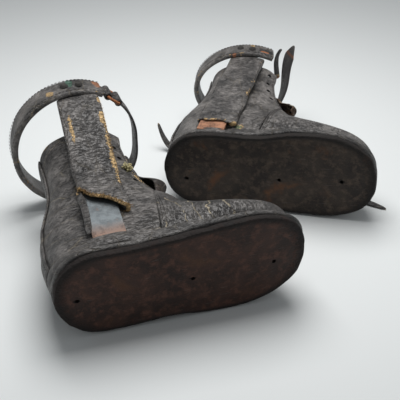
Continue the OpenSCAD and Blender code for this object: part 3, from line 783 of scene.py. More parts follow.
def crust_tree():
    """Small grains of dried crust on scattered points."""
    tree = group_of("crust_grains", (
        ("Grain Size", "NodeSocketFloat", 0.0009), ("Seed", "NodeSocketInt", 5),
        ("Crust", "NodeSocketMaterial", None)))
    add, link = tree.nodes.new, tree.links.new
    source, ball = add("NodeGroupInput"), add("GeometryNodeMeshIcoSphere")
    scale = add("FunctionNodeRandomValue")
    ball.inputs["Subdivisions"].default_value = 2
    scale.data_type = "FLOAT_VECTOR"
    scale.inputs["Min"].default_value = (0.4, 0.4, 0.3)
    scale.inputs["Max"].default_value = (1.3, 1.2, 0.9)
    link(source.outputs["Grain Size"], ball.inputs["Radius"])
    link(source.outputs["Seed"], scale.inputs["Seed"])
    place = placed(tree, source, source.outputs["Geometry"], ball.outputs["Mesh"], "Crust")
    link(scale.outputs["Value"], place.inputs["Scale"])
    return tree


def grown(name, tree, paths, inputs, body):
    """Runs a tree on paths of (points, ups) in millimetres in the row frame, and keeps a plain mesh."""
    points, ups, edges, start = [], [], [], 0
    for way, up in paths:
        points.append(way)
        ups.append(up)
        edges += [(start + i, start + i + 1) for i in range(len(way) - 1)]
        start += len(way)
    mesh = bpy.data.meshes.new(name)
    mesh.from_pydata((np.concatenate(points) / 1000).tolist(), edges, [])
    set_layer(mesh, "up", "FLOAT_VECTOR", np.concatenate(ups))
    obj = bpy.data.objects.new(name, mesh)
    bpy.context.scene.collection.objects.link(obj)
    change = obj.modifiers.new("grow", "NODES")
    change.node_group = tree
    sockets = {s.name: s.identifier for s in tree.interface.items_tree if s.in_out == "INPUT"}
    for label, value in inputs.items():
        change[sockets[label]] = value
    flatten(obj)
    co = np.array([v.co for v in obj.data.vertices], float)
    set_layer(obj.data, "lay", "FLOAT_VECTOR", co)
    obj.data.polygons.foreach_set("use_smooth", [True] * len(obj.data.polygons))
    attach(obj, body)
    return obj


# ---------------------------------------------------------------- shapes of the pieces
def torn_share(boot, a):
    """How far the right boot's toe has come away from its sole, from 0 to 1, at angle a."""
    if boot.side == "left":
        return 0 * np.asarray(a, float)
    x = boot.upper(a, np.full(np.shape(a), 14.0), 0)[..., 0]
    outer = clamp01(-np.sin(np.radians(a)) * 5 + 0.1)
    return smooth((x - 94) / 20) * outer


def outsole_shape():
    """The outsole, a little uneven underneath, and how sooty its rim is."""
    a = np.linspace(0, 360, 240, endpoint=False)
    rim = sole_point(a, -1.3, 0.0)
    rings, dark = [], []
    for s in np.concatenate(([0.01], np.linspace(0.06, 1, 26))):
        ring = SOLE_MIDDLE + (rim - SOLE_MIDDLE) * s
        rings.append(ring)
        dark.append(np.full(len(a), clamp01((s - 0.80) / 0.2) ** 1.6))
    for grow, z in ((-0.7, 0.12), (-0.2, 0.55), (0.0, 1.3), (0.05, 2.5), (0.0, 3.8), (-0.2, 4.5),
                    (-0.8, 4.9)):
        rings.append(sole_point(a, grow, z))
        dark.append(np.full(len(a), 1.0))
    for s in (0.97, 0.5, 0.01):
        rings.append(SOLE_MIDDLE + (0, 0, 4.95) + (rim - SOLE_MIDDLE) * s)
        dark.append(np.full(len(a), 1.0))
    rings, dark = np.stack(rings), np.stack(dark)
    flatness = np.where(rings[..., 2:] < 1.0, 1.0, 0.0)
    rings = rings + flatness * np.array((0, 0, 0.28)) * rough(rings, 34, 21)[..., None]
    side = np.where((rings[..., 2] > 0.4) & (rings[..., 2] < 4.7), 1.0, 0.0)
    push = (0.5 * lumps(rings, 9, 22) + 0.25 * lumps(rings, 3.5, 23)) * side
    rings[..., :2] += unit(rings[..., :2] - SOLE_MIDDLE[:2]) * push[..., None]
    verts, faces, source = loft(rings)
    return (verts, faces, source), dark.reshape(-1)[source]


def welt_shape(boot):
    """The lumpy welt as a closed ring, with painted shade on it under the loose toe."""
    profile = np.array(((-12, 5.05), (-4, 5.05), (0.1, 5.1), (0.9, 5.5), (1.35, 6.3), (1.4, 7.5), (1.0, 8.5),
                        (0.2, 9.1), (-1.6, 9.15), (-6, 9.05), (-12, 9.0)))
    a = np.linspace(0, 360, 300, endpoint=False)
    rings = np.stack([sole_point(a, g, z) for g, z in profile], 1)
    edge = clamp01((profile[:, 0] + 3) / 3)
    push = (0.8 * lumps(rings, 9, 31) + 0.6 * lumps(rings, 26, 32) - 0.3) * edge
    rings[..., :2] += unit(rings[..., :2] - SOLE_MIDDLE[:2]) * push[..., None]
    rings[..., 2] += 0.55 * lumps(rings, 15, 33) * edge * (profile[:, 1] > 6)
    shape = loft(rings, wrap=True)
    # Painted shade on the welt's top in the gap under the loose toe.
    soot = 0.95 * torn_share(boot, a)[:, None] * smooth((-1.0 - profile[:, 0]) / 2) * (profile[:, 1] > 8)
    return shape, soot.reshape(-1)[shape[2]]


def rand_shape(boot):
    """The narrow band over the welt, which runs out at the loose toe and bulges over the uprights."""
    profile = ((-2.0, 9.1), (-2.7, 10.6), (-2.7, 13.2), (-2.3, 15.6), (-1.5, 17.6), (-0.8, 18.5),
               (-0.3, 18.2), (-0.35, 14.0), (-0.35, 9.1))
    a = np.linspace(0, 360, 300, endpoint=False)
    low = 1 - 0.86 * torn_share(boot, a)
    if boot.side == "left":
        x = boot.upper(a, np.full(a.shape, 12.0), 0)[..., 0]
        low = low - 0.62 * smooth((17 - np.abs(x - boot.bar_x - 1)) / 5) * (np.sin(np.radians(a)) > 0)
    rows = []
    for off, z in profile:
        z = 9.1 + (z - 9.1) * low
        p = boot.skin(a, z, off + 1.4 * (1 - low) * (off < -0.5))
        bulge = 4.4 * np.exp(-(np.abs(p[:, 0] - boot.bar_x) / 15) ** 4)
        p[:, 1] += np.sign(np.sin(np.radians(a))) * bulge * clamp01(np.abs(np.sin(np.radians(a))) * 3)
        rows.append(p)
    rings = np.stack(rows, 1)
    rings[..., 2] += 0.5 * lumps(rings, 13, 35) * (np.array(profile)[:, 1] > 15)
    shape = loft(rings, wrap=True)
    # Painted shade on the rand where it runs out into the gap under the loose toe.
    soot = 0.95 * torn_share(boot, a)[:, None] + 0 * rings[..., 0]
    return shape, soot.reshape(-1)[shape[2]]


def vamp_shape(boot):
    """The leather over the toes, with its wear. The right one has come away at the toe."""
    t = np.linspace(-1, 1, 190)[None, :]
    v = np.linspace(0, 1, 84)[:, None]
    torn = torn_share(boot, t * boot.seam_a(np.full(t.shape, 14.0)))
    z = mix(9.15 + 2.2 * torn, 78.6, v)
    a = t * (boot.seam_a(z) - 0.6)
    bump = (4.6 if boot.side == "right" else 1.6) * bell(z, 71, 7.5) * bell(a, -6, 30)
    curl = 6.5 * torn * bell(v, 0, 0.11) - 1.6 * torn * bell(v, 0.27, 0.1) - bump
    top = smooth((z - 74) / 5) * (1.6 if boot.side == "right" else 0.8)
    outer = boot.skin(a, z, curl + top)
    inner = boot.skin(a, z, LEATHER_T + curl + top)
    ragged = 0.9 * lumps(outer, 6, 41) * smooth((v - 0.93) / 0.07)
    outer[..., 2] += ragged
    inner[..., 2] += ragged
    shape = shell(outer, inner)
    # Painted shade on the loose toe's lower edge, where it curls away from the welt.
    dark = (torn * bell(v, 0, 0.10)).reshape(-1)
    tan = 0.5 * bell(z, 78.6, 2) * bell(lumps(outer, 8, 43), 0.6, 0.5)
    rust = 0.75 * bell(outer[..., 0], 99, 5) * bell(z, 14, 4) * (a < 0) * (boot.side == "right")
    source = shape[2]
    return shape, tuple(x.reshape(-1)[source] for x in (tan + 0 * a, 0 * a, rust + 0 * a)), dark[source]


def quarter_shape(boot, side):
    """One side of the upper: side is -1 for the outer one and 1 for the inner one."""
    v = np.linspace(0, 1, 104)[:, None]
    s = np.linspace(0, 1, 96)[None, :]
    a0 = side * mix(boot.gap_a(120), 179.5, s)
    crest = boot.upper(a0, np.full(a0.shape, boot.shaft_top - 1.0), 0)
    top = boot.shaft_top - 0.8 + 0.9 * lumps(crest, 14, 51) - 2.5 * bell(s, 0, 0.08)
    z = mix(9.15, top, v)
    ragged = 0.9 * lumps(np.stack(np.broadcast_arrays(0 * z, 0 * z, z), -1), 7, 52 + side) * (z > 80)
    a = side * mix(boot.edge_a(z) + 0.6 + ragged, 179.4, s)
    flare = -1.1 * smooth((z - top + 14) / 14) * smooth((1 - s) * 3)
    edge = -0.7 * bell(s, 0, 0.05) * (z > 80)
    outer = boot.skin(a, z, flare + edge)
    inner = boot.skin(a, z, LEATHER_T + flare + edge)
    shape = shell(outer, inner)
    chips = bell(lumps(outer, 9, 53), 0.8, 0.45)
    tan = 0.62 * bell(v, 1, 0.012) * chips + 0.6 * bell(s, 0, 0.02) * chips * (z > 78)
    green = 0 * a
    if boot.side == "left":
        green = 0.9 * bell(outer[..., 0], boot.bar_x + 19, 4.0) * bell(z, 22, 3.5) * (side > 0)
        tan = tan + 0.9 * bell(outer[..., 0], boot.bar_x + 20, 4.5) * bell(z, 22, 4) * (side > 0)
    if boot.side == "right":
        tan = tan + 0.62 * bell(s, 0.03, 0.05) * bell(z, 92, 10) * (side < 0)
    source = shape[2]
    marks = tuple((x + 0 * a).reshape(-1)[source] for x in (tan, green, 0 * a))
    return shape, marks


def sheet_shape(boot, z0, z1, a0, a1, outer_off, inner_off, rows, columns, crumple=0.0, seed=60, swell=0.0,
                lump=(0.0, 0.0)):
    z = np.linspace(z0, z1, rows)[:, None]
    t = np.linspace(0, 1, columns)[None, :]
    a = mix(a0(z), a1(z), t)
    z = z + 0 * a
    move = 0.0
    if crumple:
        move = (crumple * rough(boot.upper(a, z, 0), 9, seed)
                - swell * bell(z, lump[0], 7.5) * bell(a, lump[1], 17))
    return shell(boot.skin(a, z, outer_off + move), boot.skin(a, z, inner_off + move)), a, z


def sleeve_shape(boot, way, cut_z, cut_turn):
    """A leather tube around one upright. Its lower end may be torn off on a slant."""
    torn = boot.side == "right" and way < 0
    f = np.linspace(0, 2 * math.pi, SLEEVE_AROUND, endpoint=False)[None, :]
    c, s = np.cos(f), np.sin(f)
    x = 2.5 + 15.4 * np.sign(c) * np.abs(c) ** 0.42
    y = 0.3 + 2.6 * np.sign(s) * np.abs(s) ** 0.62
    xi = 0.4 + 11.6 * np.sign(c) * np.abs(c) ** 0.3
    yi = 0.05 + 1.62 * np.sign(s) * np.abs(s) ** 0.4
    y = y + 0.7 * (1 - ((x - 2.5) / 15.5) ** 2) * (s > 0)
    low = (cut_z - math.tan(math.radians(cut_turn)) * (x - 2)
           + 1.1 * lumps(np.stack((x, 0 * x, 0 * x), -1), 4.5, 71))
    if torn:
        low = (low + 4.5 * bell(x, -12, 3) - 1.0 * bell(x, 14, 5)
               + 0.7 * lumps(np.stack((x, 0 * x, 0 * x), -1), 1.7, 70))
    v = np.linspace(0, 1, SLEEVE_ALONG)[:, None]
    high = boot.band_z - 9.2
    z = mix(low, high, v)
    p = np.stack((x + 0 * z, y + 0 * z, z), -1)
    dent = (0.5 * lumps(p, 15, 72 + way) + 0.22 * lumps(p, 5, 75)) * (s > 0)
    if torn:
        dent = dent + (1.5 * bell(z, low + 4, 9) - 0.9 * bell(z, 92, 1.6) + 0.5 * bell(z, 89, 3)) * (s > 0)
        lift = (1.1 + 0.5 * lumps(p, 4, 79)) * bell(v, 0, 0.1) * bell(x, 0, 16) * (s > 0)
        dent = dent + lift
    widen = 0.7 * lumps(np.stack((0 * z, 0 * z, z), -1), 19, 77)
    seat = boot.bar_y(z, way)
    outer = boot.upright(x + widen * c, way * (seat + y + dent), z)
    inner_dent = np.where(s > 0, clamp01(dent), 0)
    inner = boot.upright(xi + 0.5 * widen * c, way * (seat + yi + inner_dent), z)
    if torn:
        inner = mix(outer, inner, clamp01(0.45 + 0.55 * smooth((z - low) / 9))[..., None])
    shape = shell(outer, inner, wrap=True, lip=0.35)
    tan = 1.0 * bell(z, low, 1.35) * torn
    front = bell(x, 17.9, 3.2) * (s > -0.3)
    patch = smooth(0.5 + 1.6 * lumps(p, 9, 78))
    if torn:
        tan = tan + front * (0.45 + patch) * bell(z, 120, 36) * 1.7
        tan = tan + 0.9 * bell(x, -7, 1.9) * bell(z, 127, 13) * (s > 0)
        tan = tan + 0.7 * bell(x, -12.5, 2.0) * bell(z, 68, 10) * (s > 0)
    else:
        tan = tan + front * patch * 0.42 + 0.5 * bell(z, low, 1.0)
    # Painted shade in the crease at 92 on the torn sleeve and on the sleeve's face against the upright.
    soot = 0.5 * bell(z, 92, 0.7) * torn * (s > 0) + 0.75 * (s < -0.2)
    source = shape[2]
    flat = [(q + 0 * z).reshape(-1)[source] for q in (tan, 0 * z, 0 * z, soot)]
    lay = np.stack((x + 0 * z, y + 0 * z, z), -1).reshape(-1, 3)[source]
    return shape, flat[:3], flat[3], lay, (x, y, dent, low, high)


def seam_row(boot, a, z, off):
    """A row of stitches on the leather, and the ways that they face."""
    line = boot.skin(a, z, off)
    return boot.world(line), boot.vec(unit(boot.skin(a, z, off - 1) - line))


def ribbon(path, across, thick_way, widths, thicks, corner=0.4, n=28):
    """A flat strap through path points, with rounded ends. across and thick_way are unit ways by point."""
    f = np.linspace(0, 2 * math.pi, n, endpoint=False)
    c, s = np.cos(f), np.sin(f)
    u = np.sign(c) * np.abs(c) ** corner
    w = np.sign(s) * np.abs(s) ** 0.6
    count = len(path)
    ends = np.minimum(np.arange(count), np.arange(count)[::-1])
    close = np.interp(ends, (0, 1, 2, 3), (0.45, 0.8, 0.95, 1.0))
    rings = (path[:, None] + across[:, None] * (u[None, :, None] * (widths * close)[:, None, None] / 2)
             + thick_way[:, None] * (w[None, :, None] * (thicks * close)[:, None, None] / 2))
    shape = loft(rings)
    place = np.linspace(0, 1, count)[:, None] + 0 * u[None, :]
    return shape, place.reshape(-1)[shape[2]], (w[None, :] + 0 * place).reshape(-1)[shape[2]]


def barrel(boot, centre, outer_r, inner_r, height):
    """A short leather tube round a wire, upright in the band's frame."""
    f = np.linspace(0, 2 * math.pi, 36, endpoint=False)[None, :]
    h = np.linspace(-height / 2, height / 2, 14)[:, None]
    soft = 1 + 0.03 * lumps(np.stack((np.cos(f) + 0 * h, np.sin(f) + 0 * h, h / 3 + 0 * f), -1), 0.8, 81)
    outer = boot.band_frame(centre[0] + outer_r * soft * np.cos(f), centre[1] + outer_r * soft * np.sin(f), h)
    inner = boot.band_frame(centre[0] + inner_r * np.cos(f) + 0 * h, centre[1] + inner_r * np.sin(f) + 0 * h,
                            h + 0 * f)
    return shell(outer, inner, wrap=True)


def flat_band(boot, t):
    """A point of the band's middle line, in the plane of the band."""
    t = math.radians(t)
    return np.array((boot.ra * math.cos(t), boot.rb * math.sin(t)))


def keep_point(boot):
    """The two long sides of a strap's iron loop, in the plane of the band."""
    a, b = flat_band(boot, HINGE_TURN), flat_band(boot, KEEP_TURN)
    if boot.side == "right":
        return a, b
    t = math.radians(LEFT_STRAP_TURN)
    turn = np.array(((math.cos(t), -math.sin(t)), (math.sin(t), math.cos(t))))
    return a, a + turn @ (b - a)


def cover_shape(boot):
    """The leather over the calf band, with its turned lip and its seam, and the barrel of its hinge."""
    m, n = 230, 64
    start = boot.band_start
    t = np.linspace(start, 300, m)[:, None]
    f = np.linspace(0, 2 * math.pi, n, endpoint=False)[None, :]
    c, s = np.cos(f), np.sin(f)
    off = 0.2 + 2.25 * np.sign(c) * np.abs(c) ** 0.55
    h = 9.9 * np.sign(s) * np.abs(s) ** 0.4
    close = np.minimum(smooth((t - start + 0.8) / 2.2), smooth((300.8 - t) / 2.2)) ** 0.5
    p = np.stack((t * 0.8 + 0 * h, off + 0 * t, h + 0 * t), -1)
    lip = 0.55 * bell(h, -8.6, 1.0) * (c > 0) - 0.45 * bell(h, -6.6, 0.8) * (c > 0)
    move = 0.35 * lumps(p, 16, 91) + 0.2 * lumps(p, 6, 92)
    slot_cut = 0 * t * h
    if boot.side == "left":
        slot_cut = 1.9 * smooth((76 - t) / 4) * smooth((t - 58.5) / 2) * bell(h, 1.0, 3.4) * (c > 0)
    height = h * close + 0.5 * lumps(p * (1, 0, 0), 21, 93)
    points = boot.band_middle(t + 0 * f, (off + lip + move * (c > 0) - slot_cut) * close, height)
    shape = loft(points)
    # Painted shade in the left band's slot, in the groove above the lip and on the face towards the leg; the
    # right band also gets a small dark spot.
    dark = 0.95 * clamp01(slot_cut) + 0.4 * bell(h, -6.6, 0.6) * (c > 0) + 0.35 * (c < -0.3)
    chips = smooth(0.5 + 1.8 * lumps(p, 7, 94))
    tan, green, rust = 0.45 * bell(h, -9.4, 0.8) * chips, 0 * t * h, 0 * t * h
    if boot.side == "right":
        tan = tan + 1.2 * bell(t, 252, 3.4) * bell(h, -3.0, 3.6) * (c > 0)
        rust = 1.1 * bell(t, 241, 1.5) * bell(h, 1.5, 1.4) * (c > 0)
        rust = rust + 1.3 * bell(t, 296, 5) * bell(h, 4, 5) * (c > 0)
        green = 1.2 * bell(t, 271, 3.2) * bell(h, 4.0, 6) * (c > 0)
        dark = dark + 0.9 * bell(t, 291, 2.4) * bell(h, -1.0, 1.8) * (c > 0)
    else:
        tan = tan + 1.1 * bell(t, 82, 3.0) * bell(h, 6.5, 2.6) * (c > 0)
        rust = 0.8 * bell(t, 102, 3.4) * bell(h, -9.5, 1.0)
    centre = flat_band(boot, HINGE_TURN)
    knuckle = barrel(boot, centre, 3.2, 1.5, 12)
    tt = np.linspace(296, 304.2, 8)
    tab, _, _ = ribbon(boot.band_middle(tt, 0 * tt, 0 * tt),
                       np.tile(boot.band_frame(0, 0, 1) - boot.band_frame(0, 0, 0), (8, 1)),
                       boot.band_middle(tt, 1 + 0 * tt, 0 * tt) - boot.band_middle(tt, 0 * tt, 0 * tt),
                       np.full(8, 12.0), np.full(8, 3.2))
    whole = joined(shape, knuckle, tab)
    rest = len(whole[0]) - len(shape[0])
    grown_marks = [np.concatenate(((q + 0 * t * h).reshape(-1)[shape[2]], np.zeros(rest) + extra))
                   for q, extra in ((tan, 0), (green, 0), (rust, 0.35 if boot.side == "right" else 0),
                                    (dark, 0.1))]
    lay = np.concatenate((np.stack((t * 0.8 + 0 * h, off + 0 * t, h + 0 * t), -1).reshape(-1, 3)[shape[2]],
                          whole[0][len(shape[0]):]))
    return whole, grown_marks[:3], grown_marks[3], lay


def loop_shape(boot):
    """The iron wire loop that joins the band and its strap."""
    a, b = keep_point(boot)
    corners = ((a, -8.2), (b, -8.2), (b, 8.2), (a, 8.2))
    path, tube = [], 12
    for k in range(4):
        (p, hp), (q, hq) = corners[k], corners[(k + 1) % 4]
        for s in np.linspace(0.09, 0.91, 14):
            path.append((*(p + (q - p) * s), hp + (hq - hp) * s))
    path = np.array(path)
    ahead = unit(np.roll(path, -1, 0) - np.roll(path, 1, 0))
    flat_out = unit(np.array((*(unit(b - a) @ np.array(((0, 1), (-1, 0)))), 0.0)))
    side = unit(np.cross(ahead, flat_out))
    f = np.linspace(0, 2 * math.pi, tube, endpoint=False)
    r = 1.15 * (1 + 0.08 * lumps(path, 3, 95))[:, None, None]
    ring = path[:, None] + r * (np.cos(f)[None, :, None] * flat_out
                                + np.sin(f)[None, :, None] * side[:, None])
    return loft(boot.band_frame(ring[..., 0], ring[..., 1], ring[..., 2]), wrap=True)


def closing_strap_shape(boot):
    """The strap that closes the calf band, with the barrel that holds it on its loop."""
    a, b = keep_point(boot)
    up = boot.band_frame(0, 0, 1) - boot.band_frame(0, 0, 0)
    if boot.side == "right":
        t = np.linspace(KEEP_TURN + 2, 64, 110)
        off = mix(0, 2.6 + 0.45 + 1.1, smooth((t - 2) / 34))
        path = boot.band_middle(t, off, 0 * t)
        out = boot.band_middle(t, off + 1, 0 * t) - path
        widths = 13 * (0.35 + 0.65 * smooth((64.5 - t) / 7)) + 0.5 * lumps(path, 17, 96)
    else:
        way = unit(b - a)
        s = np.linspace(1.8, 62.6, 90)
        bend = 1.5 * np.sin((s - 1.8) / 60.8 * 2 * math.pi) - 0.4 * np.sin((s - 1.8) / 22)
        side = np.array((way[1], -way[0]))
        flat = b + way * s[:, None] + side * bend[:, None]
        path = boot.band_frame(flat[:, 0], flat[:, 1], 0 * s)
        out = np.tile(boot.band_frame(side[0], side[1], 0) - boot.band_frame(0, 0, 0), (len(s), 1))
        widths = 13 * np.interp(s, (0, 52, 58, 62.6), (1, 1, 0.55, 0.12)) + 0.6 * lumps(path, 12, 97)
    n = len(path)
    ahead = unit(np.gradient(path, axis=0))
    across = np.tile(up, (n, 1))
    level = np.cross(ahead, across)
    out = unit(level) * np.sign((level * out).sum(1))[:, None]
    thick = 2.2 + 0.15 * lumps(path, 8, 98)
    if boot.side == "left":
        twist = math.radians(33) * np.sin(np.linspace(0, 1, n) * 2.4)[:, None]
        across, out = (across * np.cos(twist) - out * np.sin(twist),
                       out * np.cos(twist) + across * np.sin(twist))
    shape, place, face = ribbon(path, across, out, widths, thick)
    knuckle = barrel(boot, b, 3.0, 1.5, 12.6)
    whole = joined(shape, knuckle)
    rest = len(whole[0]) - len(shape[0])
    # Painted shade on the strap's face towards the band; the barrel is evenly darkened a little.
    dark = np.concatenate((0.55 * (face < -0.2) if boot.side == "left" else 0.25 * (face < -0.2),
                           np.full(rest, 0.3)))
    rust = np.concatenate((0.8 * bell(place, 0.86, 0.035) * (boot.side == "left"), np.zeros(rest)))
    tan = np.concatenate((0.45 * bell(place, 0.97, 0.03), np.zeros(rest)))
    return whole, (tan, 0 * tan, rust), dark


def short_tab_shape(boot):
    """The short leather tab beside the front end of the left band."""
    t = np.linspace(-0.1, 1.0, 60)
    x = 28.65 - 2.4 * t + 6.4 * t ** 4
    path = boot.band_frame(x, 6 + 27 * t, 9.4 + 0 * t)
    up = np.tile(boot.band_frame(0, 0, 1) - boot.band_frame(0, 0, 0), (len(t), 1))
    ahead = unit(np.gradient(path, axis=0))
    widths = 5.8 * np.interp(t, (-0.1, 0.55, 1.0), (1.0, 0.85, 0.5))
    out = unit(np.cross(ahead, up))
    twist = math.radians(52)
    across, out = up * math.cos(twist) + out * math.sin(twist), out * math.cos(twist) - up * math.sin(twist)
    shape, place, face = ribbon(path, across, out, widths, np.full(len(t), 1.7))
    # Painted shade on the tab's back face.
    return shape, (0.5 * bell(place, 0.1, 0.12), 0 * place, 0.7 * bell(place, 0.02, 0.1)), 0.2 * (face < 0)


def smooth_path(points, count):
    """A smooth line of count points through a few given ones."""
    points = np.array(points, float)
    steps = np.concatenate(((0,), np.cumsum(np.linalg.norm(np.diff(points, axis=0), axis=1))))
    s = np.linspace(0, steps[-1], count)
    return (np.stack([along(tuple(zip(steps, points[:, k])), s) for k in range(points.shape[1])], 1),
            s / steps[-1])


def ankle_strap_shape(rear):
    """One end of the ankle strap: the rear one turns up, the front one lies on the floor."""
    if rear:
        end, way = np.array((-20.0, 80.0)), unit(np.array((-18.0, 12.0)))
        ways = [(31, 48, 2.75), (14, 58, 2.75), (-2, 68, 2.75), (-16, 77.4, 2.75)]
        ways += [(*(end + way * d), z)
                 for d, z in ((3.6, 3.3), (9.6, 5.7), (14.4, 10.5), (18.3, 17.3), (21.2, 24.6))]
        path, s = smooth_path(ways, 90)
        widths = 9 * np.interp(s, (0, 0.6, 0.85, 1.0), (1, 1, 0.62, 0.28))
    else:
        ways = [(22, 51.5, 0.9), (40, 50, 0.9), (60, 44, 0.9), (84, 34, 0.9), (112, 16, 0.9), (135, -4, 0.9),
                (149, -15, 0.9)]
        path, s = smooth_path(ways, 110)
        widths = np.interp(s, (0, 0.55, 0.8, 0.92, 1.0), (9, 9, 7.5, 6.2, 2.4))
    ahead = unit(np.gradient(path, axis=0))
    across = unit(np.cross((0, 0, 1.0), ahead))
    shape, place, face = ribbon(path + ROW_SHIFT, across, np.cross(ahead, across), widths,
                                np.full(len(path), 1.5))
    # Painted shade on the strap's face towards the floor.
    return shape, (0.4 * bell(place, 1, 0.04), 0 * place, 0 * place), 0.15 * (face < 0)


# ---------------------------------------------------------------- settings
class BootSizes(bpy.types.PropertyGroup):
    stitch_pitch: bpy.props.FloatProperty(name="Stitch Pitch", description="From one stitch to the next",
                                          default=0.0029, min=0.001, subtype="DISTANCE")
    stitch_length: bpy.props.FloatProperty(name="Stitch Length", description="Length of one stitch",
                                           default=0.002, min=0.0005, subtype="DISTANCE")
    thread: bpy.props.FloatProperty(name="Thread", description="Thickness of the thread", default=0.00055,
                                    min=0.0002, subtype="DISTANCE")
    fibre: bpy.props.FloatProperty(name="Fibre", description="Length of the torn fibres", default=0.0022,
                                   min=0.0005, subtype="DISTANCE")
    crack_share: bpy.props.FloatProperty(name="Cracks", description="How much of the vamp shows pale cracks",
                                         default=0.75, min=0.0, max=1.0, subtype="FACTOR")


class BootColours(bpy.types.PropertyGroup):
    black: bpy.props.FloatVectorProperty(name="Black", description="Darkest tone of the blackened leather",
                                         size=3, default=(0.034, 0.031, 0.0295), subtype="COLOR")
    grey: bpy.props.FloatVectorProperty(name="Grey", description="Dusty tone of the blackened leather",
                                        size=3, default=(0.176, 0.162, 0.152), subtype="COLOR")
    cream: bpy.props.FloatVectorProperty(name="Cream", description="Pale flesh side in the cracks", size=3,
                                         default=(0.48, 0.40, 0.27), subtype="COLOR")
    tan: bpy.props.FloatVectorProperty(name="Tan", description="Raw leather at torn edges", size=3,
                                       default=(0.60, 0.40, 0.18), subtype="COLOR")
    rust: bpy.props.FloatVectorProperty(name="Rust", description="Rust of the iron pieces", size=3,
                                        default=(0.33, 0.12, 0.045), subtype="COLOR")
    steel: bpy.props.FloatVectorProperty(name="Steel", description="Blued steel of the uprights", size=3,
                                         default=(0.17, 0.19, 0.20), subtype="COLOR")
    sole: bpy.props.FloatVectorProperty(name="Sole", description="Reddish brown of the outsoles", size=3,
                                        default=(0.044, 0.0195, 0.013), subtype="COLOR")
    floor: bpy.props.FloatVectorProperty(name="Floor", description="Pale floor", size=3,
                                         default=(0.80, 0.82, 0.815), subtype="COLOR")


class BOOTS_OT_finishes(bpy.types.Operator):
    """Make the leather, metal and thread finishes"""
    bl_idname = "boots.finishes"
    bl_label = "Finishes"
    bl_options = {"REGISTER", "UNDO"}

    def execute(self, context):
        sizes = context.scene.boot_sizes
        tones = context.scene.boot_colours
        black, grey, cream, tan, rust = (
            colour(c) for c in (tones.black, tones.grey, tones.cream, tones.tan, tones.rust))
        common = {"cream": cream, "tan": tan, "rust": rust}
        lighter = tuple(1.35 * c for c in grey)
        leather_finish("vamp_right", black, grey, cracks=sizes.crack_share, shine=0.85,
                       streak=(2.2, 1.0, 1.0), wrinkle=0.2, reach=0.150, across=30.0, **common)
        leather_finish("vamp_left", tuple(1.4 * c for c in black), lighter, cracks=0.12,
                       squeeze=(1.0, 0.3, 0.3), shine=0.6, streak=(1.6, 1.6, 1.0), wrinkle=0.3, **common)
        leather_finish("quarter_right", tuple(1.1 * c for c in black), lighter, cracks=0.3,
                       squeeze=(0.35, 0.35, 1.0), net=90.0, shine=0.55, streak=(0.8, 0.8, 3.0), **common)
        leather_finish("quarter_left", tuple(1.6 * c for c in black), tuple(1.2 * c for c in lighter),
                       cracks=0.14, shine=0.45, **common)
        leather_finish("sleeve", tuple(1.1 * c for c in black), lighter, cracks=0.10, squeeze=(1.0, 1.0, 0.4),
                       shine=0.7, streak=(1.0, 1.0, 2.6), wrinkle=0.5, **common)
        leather_finish("rand_black", black, grey, cracks=0.12, squeeze=(0.8, 0.8, 1.6), shine=0.7, grain=0.5,
                       **common)
        leather_finish("band_black", black, tuple(1.45 * c for c in grey), cracks=0.2, shine=0.75, grain=0.7,
                       **common)
        leather_finish("strap_black", tuple(0.8 * c for c in black), tuple(0.8 * c for c in grey),
                       cracks=0.15, shine=0.6, **common)
        leather_finish("tongue_brown", (0.045, 0.024, 0.013), (0.17, 0.088, 0.045), cracks=0.5, shine=0.3,
                       **common)
        leather_finish("tongue_dark", black, (0.085, 0.060, 0.050), cracks=0.3, shine=0.5, **common)
        leather_finish("insole_dark", (0.028, 0.018, 0.012), (0.09, 0.055, 0.032), cracks=0.1, shine=0.2,
                       **common)
        dark_rim = (0.010, 0.0085, 0.008)
        sole_finish("sole_right", tuple(0.40 * c for c in colour(tones.sole)),
                    tuple(0.95 * c for c in colour(tones.sole)), dark_rim, (0.075, 0.032, 0.014))
        sole_finish("sole_left", (0.012, 0.0075, 0.0055), (0.036, 0.025, 0.018), dark_rim,
                    (0.12, 0.045, 0.014))
        steel_finish("steel_right", RIGHT, colour(tones.steel), (0.27, 0.165, 0.12), 0.019, 0.036)
        steel_finish("steel_left", LEFT, colour(tones.steel), (0.27, 0.13, 0.075), 0.030, 0.050)
        metal_finish("rusted_loops", (0.20, 0.10, 0.055), rust, 1.0, 0.4)
        metal_finish("dull_rivets", (0.12, 0.085, 0.05), (0.028, 0.025, 0.022), 1.3)
        metal_finish("crusted_eyelets", (0.40, 0.34, 0.15), (0.42, 0.40, 0.20), 0.9)
        metal_finish("crust_yellow", (0.50, 0.44, 0.22), (0.62, 0.52, 0.28), 0.5, 0.0)
        thread_finish("waxed_thread", (0.020, 0.017, 0.015), (0.075, 0.062, 0.050))
        thread_finish("torn_fibre", (0.30, 0.17, 0.06), (0.70, 0.48, 0.23))
        return {"FINISHED"}


class BOOTS_OT_soles(bpy.types.Operator):
    """Make the outsoles, welts and rands"""
    bl_idname = "boots.soles"
    bl_label = "Soles, welts and rands"
    bl_options = {"REGISTER", "UNDO"}

    def execute(self, context):
        for boot in BOOTS:
            side = boot.side
            shape, dark = outsole_shape()
            obj = piece(side + "_sole", boot, shape, "sole_" + side, replaces=(side + "_outsole",),
                        soot=dark)
            down = Vector(boot.vec((0, 0, 1)))
            spots = [boot.world((u * SOLE_L, shift - float(sweep(u)), 1.0)) / 1000 for u, shift in boot.holes]
            drilled(obj, spots, down, radius=0.0013, length=0.006)
            shape, dark = welt_shape(boot)
            piece(side + "_welt_edge", boot, shape, "rand_black", soot=dark, replaces=(side + "_welt",))
            shape, dark = rand_shape(boot)
            piece(side + "_rand_band", boot, shape, "rand_black", soot=dark, replaces=(side + "_rand",))
        return {"FINISHED"}


